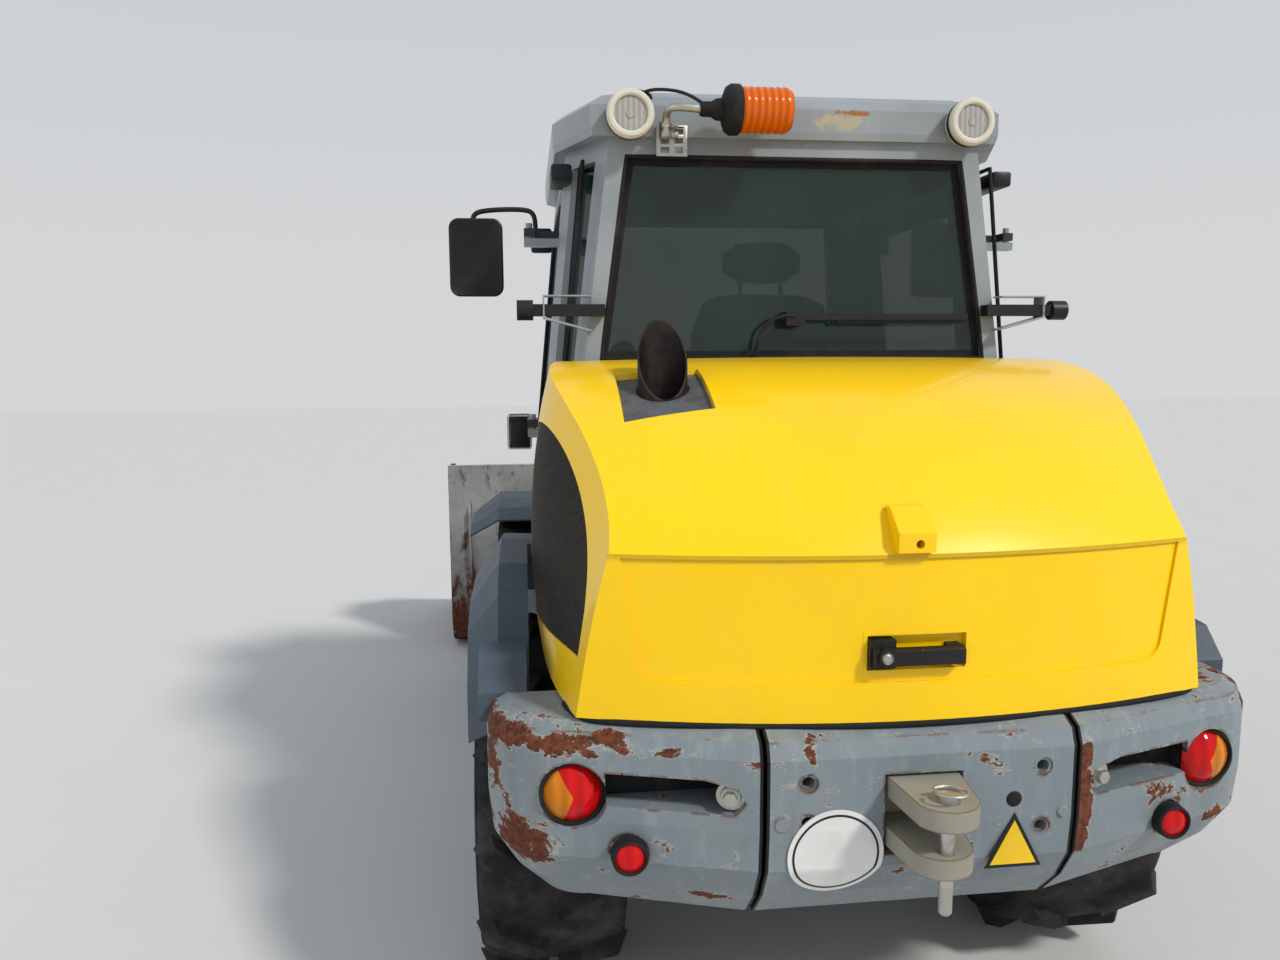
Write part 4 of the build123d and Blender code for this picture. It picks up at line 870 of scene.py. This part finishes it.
# Pierced bracket plate that holds the beacon's tube, with two columns of three slots
plate = bmesh.new()
PLATE_LEFT, PLATE_RIGHT, PLATE_LOW, PLATE_HIGH = -0.412, -0.325, 2.298, 2.379
column_edges = [PLATE_LEFT + offset for offset in (0, 0.012, 0.036, 0.051, 0.075)] + [PLATE_RIGHT]
for x0, x1 in zip(column_edges[0::2], column_edges[1::2]):
    add_box(plate, (x0, along(0.964), PLATE_LOW), (x1, along(0.969), PLATE_HIGH), bevel=0.001)
for row in range(4):
    z = PLATE_LOW + row * 0.0245
    add_box(plate, (PLATE_LEFT, along(0.9642), z), (PLATE_RIGHT, along(0.9688), z + 0.0095), bevel=0.001)
add_box(plate, (PLATE_LEFT, along(0.9642), PLATE_HIGH - 0.006), (PLATE_RIGHT, along(0.995), PLATE_HIGH),
        bevel=0.001)
make("beacon_plate", plate, M["bolt"])
tube("lamp_cable_left", route([
    (-0.3, 0.89, 2.425), (-0.335, 0.9, 2.452), (-0.39, 0.93, 2.468), (-0.44, 0.95, 2.47),
    (-0.47, 0.96, 2.45), (-0.43, 0.96, 2.44), (-0.42, 0.965, 2.462), (-0.48, 0.965, 2.476),
    (-0.535, 0.975, 2.455), (-0.545, 0.99, 2.42), (-0.52, 0.985, 2.405),
]), 0.0045, M["hydraulic"])
tube("lamp_cable_right", route([
    (0.47, 0.975, 2.405), (0.49, 0.982, 2.455), (0.52, 0.99, 2.468), (0.548, 1.005, 2.45),
    (0.556, 1.02, 2.43),
]), 0.0045, M["hydraulic"])

# Mirror faces in their housings
MIRROR_X = 0.9725
MIRROR_Z = 2.145
mirror_faces = bmesh.new()
for sign in (-1, 1):
    matrix = Matrix.Translation((sign * MIRROR_X, along(2.2415), MIRROR_Z)) @ QUARTER_TURN_X
    add_prism(mirror_faces, rounded(0.0955, 0.143, 0.026), matrix, 0.001)
make("mirror_faces", mirror_faces, M["mirror_glass"])

# Mirror housings with a rounded back, on bent arms that hang from mounts at the front posts
HOUSING = [(2.2385, 0.0), (2.236, 0.006), (2.2385, 0.012), (2.25, 0.0125), (2.275, 0.01), (2.291, 0.0),
           (2.298, -0.02)]
shells = bmesh.new()
for sign in (-1, 1):
    rounds = []
    for distance, grow in HOUSING:
        edge = rounded(0.095 + grow, 0.1425 + grow, 0.028 + max(grow, 0))
        places = [(sign * MIRROR_X + x, along(distance), MIRROR_Z + z) for x, z in edge]
        rounds.append([shells.verts.new(place) for place in places])
    for first, second in zip(rounds, rounds[1:]):
        for index in range(len(first)):
            after = (index + 1) % len(first)
            shells.faces.new((first[index], first[after], second[after], second[index]))
    shells.faces.new(rounds[-1])
    shells.faces.new(list(reversed(rounds[0])))
    low_x, high_x = span(sign, 0.668, 0.752)
    add_box(shells, (low_x, along(2.225), 2.165), (high_x, along(2.262), 2.262), bevel=0.01)
    for z in (2.24, 2.19):
        add_bolt(shells, (sign * 0.705, along(2.225), z), BACKWARD, 0.008, 0.006)
shell_piece = make("mirror_shells", shells, M["black_plastic"])
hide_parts("mirrors")
for side, sign in SIDES:
    tube(f"mirror_arm_{side}", route([
        (sign * 0.985, 2.268, 2.285), (sign * 0.985, 2.268, 2.318), (sign * 0.955, 2.262, 2.332),
        (sign * 0.86, 2.252, 2.337), (sign * 0.775, 2.246, 2.337), (sign * 0.738, 2.243, 2.325),
        (sign * 0.733, 2.243, 2.29), (sign * 0.733, 2.243, 2.25),
    ]), 0.01, M["black_plastic"])


# Glass gaskets of the cab
def cab_half(z):
    """Half width of the cab's outer wall at a height."""
    return 0.735 if z < 1.5 else 0.735 - 0.085 * (z - 1.5) / 0.855


def cab_rear(z):
    """Row position of the cab's outer rear wall at a height."""
    return along(0.97) if z < 1.5 else along(0.97 + 0.038 * (z - 1.5) / 0.855)


def cab_front(z):
    """Row position of the cab's outer front wall at a height."""
    return along(2.4) if z < 1.5 else along(2.4 - 0.07 * (z - 1.5) / 0.855)


def bead(name, points, radius, body="machine", closed=True):
    """A rubber bead of round section along straight runs."""
    piece = tube(name, points, radius, M["black_rubber"], body)
    line = piece.data.splines[0]
    line.order_u = 2
    line.use_endpoint_u = not closed
    line.use_cyclic_u = closed
    return piece


REAR_WINDOW = [(-0.57, 1.74), (0.57, 1.74), (0.492, 2.305), (-0.492, 2.305)]
FRONT_WINDOW = [(-0.59, 1.08), (-0.59, 1.5), (-0.5, 2.29), (0.5, 2.29), (0.59, 1.5), (0.59, 1.08)]
QUARTER_WINDOW = [(1.05, 1.36), (1.19, 1.36), (1.19, 1.5), (1.19, 2.3), (1.065, 2.3), (1.052, 1.5)]
DOOR_WINDOW = [(1.38, 1.39), (1.62, 1.39), (1.74, 1.2), (2.13, 1.2), (2.13, 1.5), (2.13, 2.22),
               (1.38, 2.22), (1.38, 1.5)]


def band(bm, outer, width, place):
    """A flat band along the inside of a closed outline, with place giving the point for (u, z)."""
    middle_u = sum(u for u, z in outer) / len(outer)
    middle_z = sum(z for u, z in outer) / len(outer)
    inner = []
    for u, z in outer:
        inner.append((u + (width if u < middle_u else -width), z + (width if z < middle_z else -width)))
    rings = [[bm.verts.new(place(u, z)) for u, z in ring] for ring in (outer, inner)]
    for i in range(len(outer)):
        j = (i + 1) % len(outer)
        bm.faces.new((rings[0][i], rings[0][j], rings[1][j], rings[1][i]))


border = bmesh.new()
band(border, REAR_WINDOW, 0.022, lambda u, z: (u, cab_rear(z) + 0.0205, z))
make("rear_glass_border", border, M["black_rubber"], smooth=False)
bead("rear_gasket", [(x, cab_rear(z) + 0.004, z) for x, z in REAR_WINDOW], 0.007)
bead("front_gasket", [(x, cab_front(z) - 0.004, z) for x, z in FRONT_WINDOW], 0.007)
for side, sign in SIDES:
    bead(f"quarter_gasket_{side}", [(sign * (cab_half(z) - 0.045), along(a), z) for a, z in QUARTER_WINDOW],
         0.006)
    bead(f"door_gasket_{side}", [(sign * (cab_half(z) - 0.003), along(a), z) for a, z in DOOR_WINDOW], 0.007,
         f"door_{side}")

# Wiper's water hose, and the lock of the hood's handle
tube("wiper_hose", route([
    (-0.126, 0.972, 1.75), (-0.122, 0.958, 1.8), (-0.1, 0.95, 1.84), (-0.06, 0.944, 1.862),
    (-0.02, 0.94, 1.86),
]), 0.0055, M["hydraulic"])
lock = bmesh.new()
add_turned(lock, [(0, 0.003), (0.007, 0.003), (0.0095, 0.001), (0.011, 0.003), (0.012, 0.0)],
           frame_at((-0.084, along(0.0015), 1.152), BACKWARD), 28)
make("handle_lock", lock, M["bolt"], "hood")

# Black blocks above the doors
top_blocks = bmesh.new()
for sign in (-1, 1):
    low_x, high_x = span(sign, 0.64, 0.7)
    add_box(top_blocks, (low_x, along(1.1), 2.255), (high_x, along(1.29), 2.3), bevel=0.008)
make("door_top_blocks", top_blocks, M["black_plastic"])

# Folded brackets around the door stops
stop_brackets = bmesh.new()
for sign in (-1, 1):
    fold = [(0.6, 1.917), (0.733, 1.917), (0.733, 1.853), (0.6, 1.817), (0.6, 1.822), (0.729, 1.8575),
            (0.729, 1.913), (0.6, 1.913)]
    add_prism(stop_brackets, [(sign * x, z) for x, z in fold],
              Matrix.Translation((0, along(0.992), 0)) @ QUARTER_TURN_X, 0.058)
make("stop_brackets", stop_brackets, M["cab_grey"], smooth=False)

# Lower end of the towing pin
pin_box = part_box("hitch_pin")
pin_end = bmesh.new()
add_turned(pin_end, [(0, 0), (0.009, 0), (0.0135, 0.005), (0.0135, 0.064), (0, 0.064)],
           Matrix.Translation(((pin_box[0][0] + pin_box[1][0]) / 2, (pin_box[0][1] + pin_box[1][1]) / 2,
                               pin_box[0][2] - 0.06)), 32)
make("pin_end", pin_end, M["bolt"])

# Ring handle of the towing pin
tube("pin_ring", route([
    (-0.03, -0.112, 0.926), (-0.036, -0.13, 0.93), (-0.02, -0.152, 0.932), (0.01, -0.155, 0.931),
    (0.032, -0.135, 0.929), (0.028, -0.105, 0.927), (0.0, -0.09, 0.928), (-0.026, -0.1, 0.927),
]), 0.0032, M["bolt"])


# Seat: upholstered pieces in place of its plain solid
def add_pad(bm, low, high, matrix, bulge=0.012, bevel=0.03):
    """A stuffed block with round edges and a slight bulge on its faces."""
    part = bmesh.new()
    bmesh.ops.create_cube(part, size=1.0)
    bmesh.ops.subdivide_edges(part, edges=part.edges[:], cuts=7, use_grid_fill=True)
    size = [h - l for l, h in zip(low, high)]
    middle = [(h + l) / 2 for l, h in zip(low, high)]
    for v in part.verts:
        u = [2 * c for c in v.co]
        swell = [(1 - (abs(u[(k + 1) % 3]) ** 4)) * (1 - (abs(u[(k + 2) % 3]) ** 4)) for k in range(3)]
        spot = []
        for k in range(3):
            room = size[k] / 2
            shrink = bevel * (1 - (1 - max(abs(u[(k + 1) % 3]), abs(u[(k + 2) % 3])) ** 6) ** 0.5) * 0.6
            rise = bulge * swell[k] * (1 if u[k] > 0 else -1) if abs(u[k]) > 0.99 else 0
            spot.append(u[k] * (room - shrink) + rise)
        v.co = Vector(spot) + Vector(middle)
    bmesh.ops.transform(part, matrix=matrix, verts=part.verts)
    join(bm, part)


cushions = bmesh.new()
add_pad(cushions, (-0.235, along(1.5), 1.335), (0.235, along(1.975), 1.435), Matrix.Identity(4))
lean = Matrix.Translation((0, along(1.47), 1.36)) @ Matrix.Rotation(radians(8), 4, "X")
add_pad(cushions, (-0.215, -0.055, 0.02), (0.215, 0.055, 0.58), lean)
for sign in (-1, 1):
    add_pad(cushions, (sign * 0.195 - 0.035, -0.03, 0.06), (sign * 0.195 + 0.035, 0.085, 0.52), lean, 0.004)
add_pad(cushions, (-0.125, along(1.385), 1.992), (0.125, along(1.455), 2.112), Matrix.Identity(4), 0.006)
seat_piece = make("seat_cushions", cushions, M["seat_fabric"])
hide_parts("seat")
frame_of_seat = bmesh.new()
add_box(frame_of_seat, (-0.2, along(1.65), 0.962), (0.2, along(1.92), 1.2), bevel=0.01)
for step in range(6):
    shrink = 0.012 if step % 2 else 0.0
    add_box(frame_of_seat, (-0.15 + shrink, along(1.575) + shrink, 1.2 + 0.016 * step),
            (0.15 - shrink, along(1.945) - shrink, 1.216 + 0.016 * step), bevel=0.004)
add_box(frame_of_seat, (-0.225, along(1.5), 1.296), (0.225, along(1.955), 1.345), bevel=0.012)
for sign in (-1, 1):
    x = sign * 0.068
    add_box(frame_of_seat, (x - 0.007, along(1.418), 1.93), (x + 0.007, along(1.432), 2.02), bevel=0.003)
make("seat_frame", frame_of_seat, M["black_plastic"])
armrests = bmesh.new()
for sign in (-1, 1):
    low_x, high_x = span(sign, 0.228, 0.283)
    add_pad(armrests, (low_x, along(1.455), 1.632), (high_x, along(1.795), 1.684), Matrix.Identity(4), 0.003,
            0.012)
make("armrests", armrests, M["black_rubber"])

# Inside of the cab: floor mat, roof lining, side console and lever
mat = bmesh.new()
add_box(mat, (-0.6, along(1.64), 0.961), (0.6, along(2.34), 0.972), bevel=0.004)
make("floor_mat", mat, M["black_rubber"])
lining = bmesh.new()
add_box(lining, (-0.56, along(1.06), 2.325), (0.56, along(2.26), 2.35), bevel=0.01)
make("roof_lining", lining, M["cab_inside"])
console = bmesh.new()
add_box(console, (0.3, along(1.5), 1.292), (0.47, along(2.02), 1.5), bevel=0.03)
add_box(console, (0.285, along(1.6), 1.5), (0.4, along(1.9), 1.548), bevel=0.02)
add_box(console, (-0.56, along(1.01), 1.292), (0.56, along(1.14), 1.6), bevel=0.02)
make("side_console", console, M["cab_inside"])
lever = bmesh.new()
lever_turn = Matrix.Translation((0.345, along(1.84), 1.548)) @ Matrix.Rotation(radians(-6), 4, "X")
add_turned(lever, [(0.022, 0.0), (0.018, 0.02), (0.01, 0.03), (0.009, 0.09), (0.018, 0.1), (0.024, 0.135),
                   (0.022, 0.175), (0.012, 0.19), (0.0, 0.192)], lever_turn, 28)
make("control_lever", lever, M["black_plastic"])


# Pins and bolts of the loader
def pin_caps(name, pins, body, half, radius):
    """A retained pin end on both outer sides of a pair of plates."""
    bm = bmesh.new()
    for pin_along, z in pins:
        for sign in (-1, 1):
            matrix = frame_at((sign * half, along(pin_along), z), (sign, 0, 0))
            step = radius * 0.85
            add_turned(bm, [(0, 0.012), (radius * 0.75, 0.012), (step, 0.008), (step, 0.004), (radius, 0.004),
                            (radius, -0.001)], matrix, 36)
            spot = (sign * (half + 0.004), along(pin_along) + radius * 1.35, z)
            add_bolt(bm, spot, (sign, 0, 0), 0.008, 0.007)
            tab = Matrix.Translation((sign * half, along(pin_along) + radius * 1.1, z))
            add_box(bm, (-0.004, -0.028, -0.014), (0.004, 0.03, 0.014), tab, 0.003)
    return make(name, bm, M["bolt"], body)


pin_caps("arm_pin_caps", [(3.15, 1.08), (3.83, 0.28)], "lift_arm", 0.183, 0.042)
edge_bolts = bmesh.new()
for index in range(12):
    x = -1.1 + index * 0.2
    matrix = frame_at((x, along(4.99), 0.034), (0, 0, 1))
    add_turned(edge_bolts, [(0, 0.0015), (0.013, 0.0015), (0.016, 0.0)], matrix, 20)
make("edge_bolts", edge_bolts, M["bucket_steel"], "bucket")

# Hub caps with a circle of small bolts
for place, (sign, middle_y) in WHEELS.items():
    hub = bmesh.new()
    matrix = frame_at((sign * (WHEEL_X + 0.105), middle_y, WHEEL_Z), (sign, 0, 0))
    add_turned(hub, [(0, 0.022), (0.03, 0.022), (0.045, 0.016), (0.06, 0.014), (0.066, 0.006),
                     (0.066, -0.002)], matrix, 40)
    bolt_circle(hub, place, 6, 0.052, 0.119, 0.005, 0.004)
    make(f"hub_cap_{place}", hub, M["rim"], f"wheel_{place}")
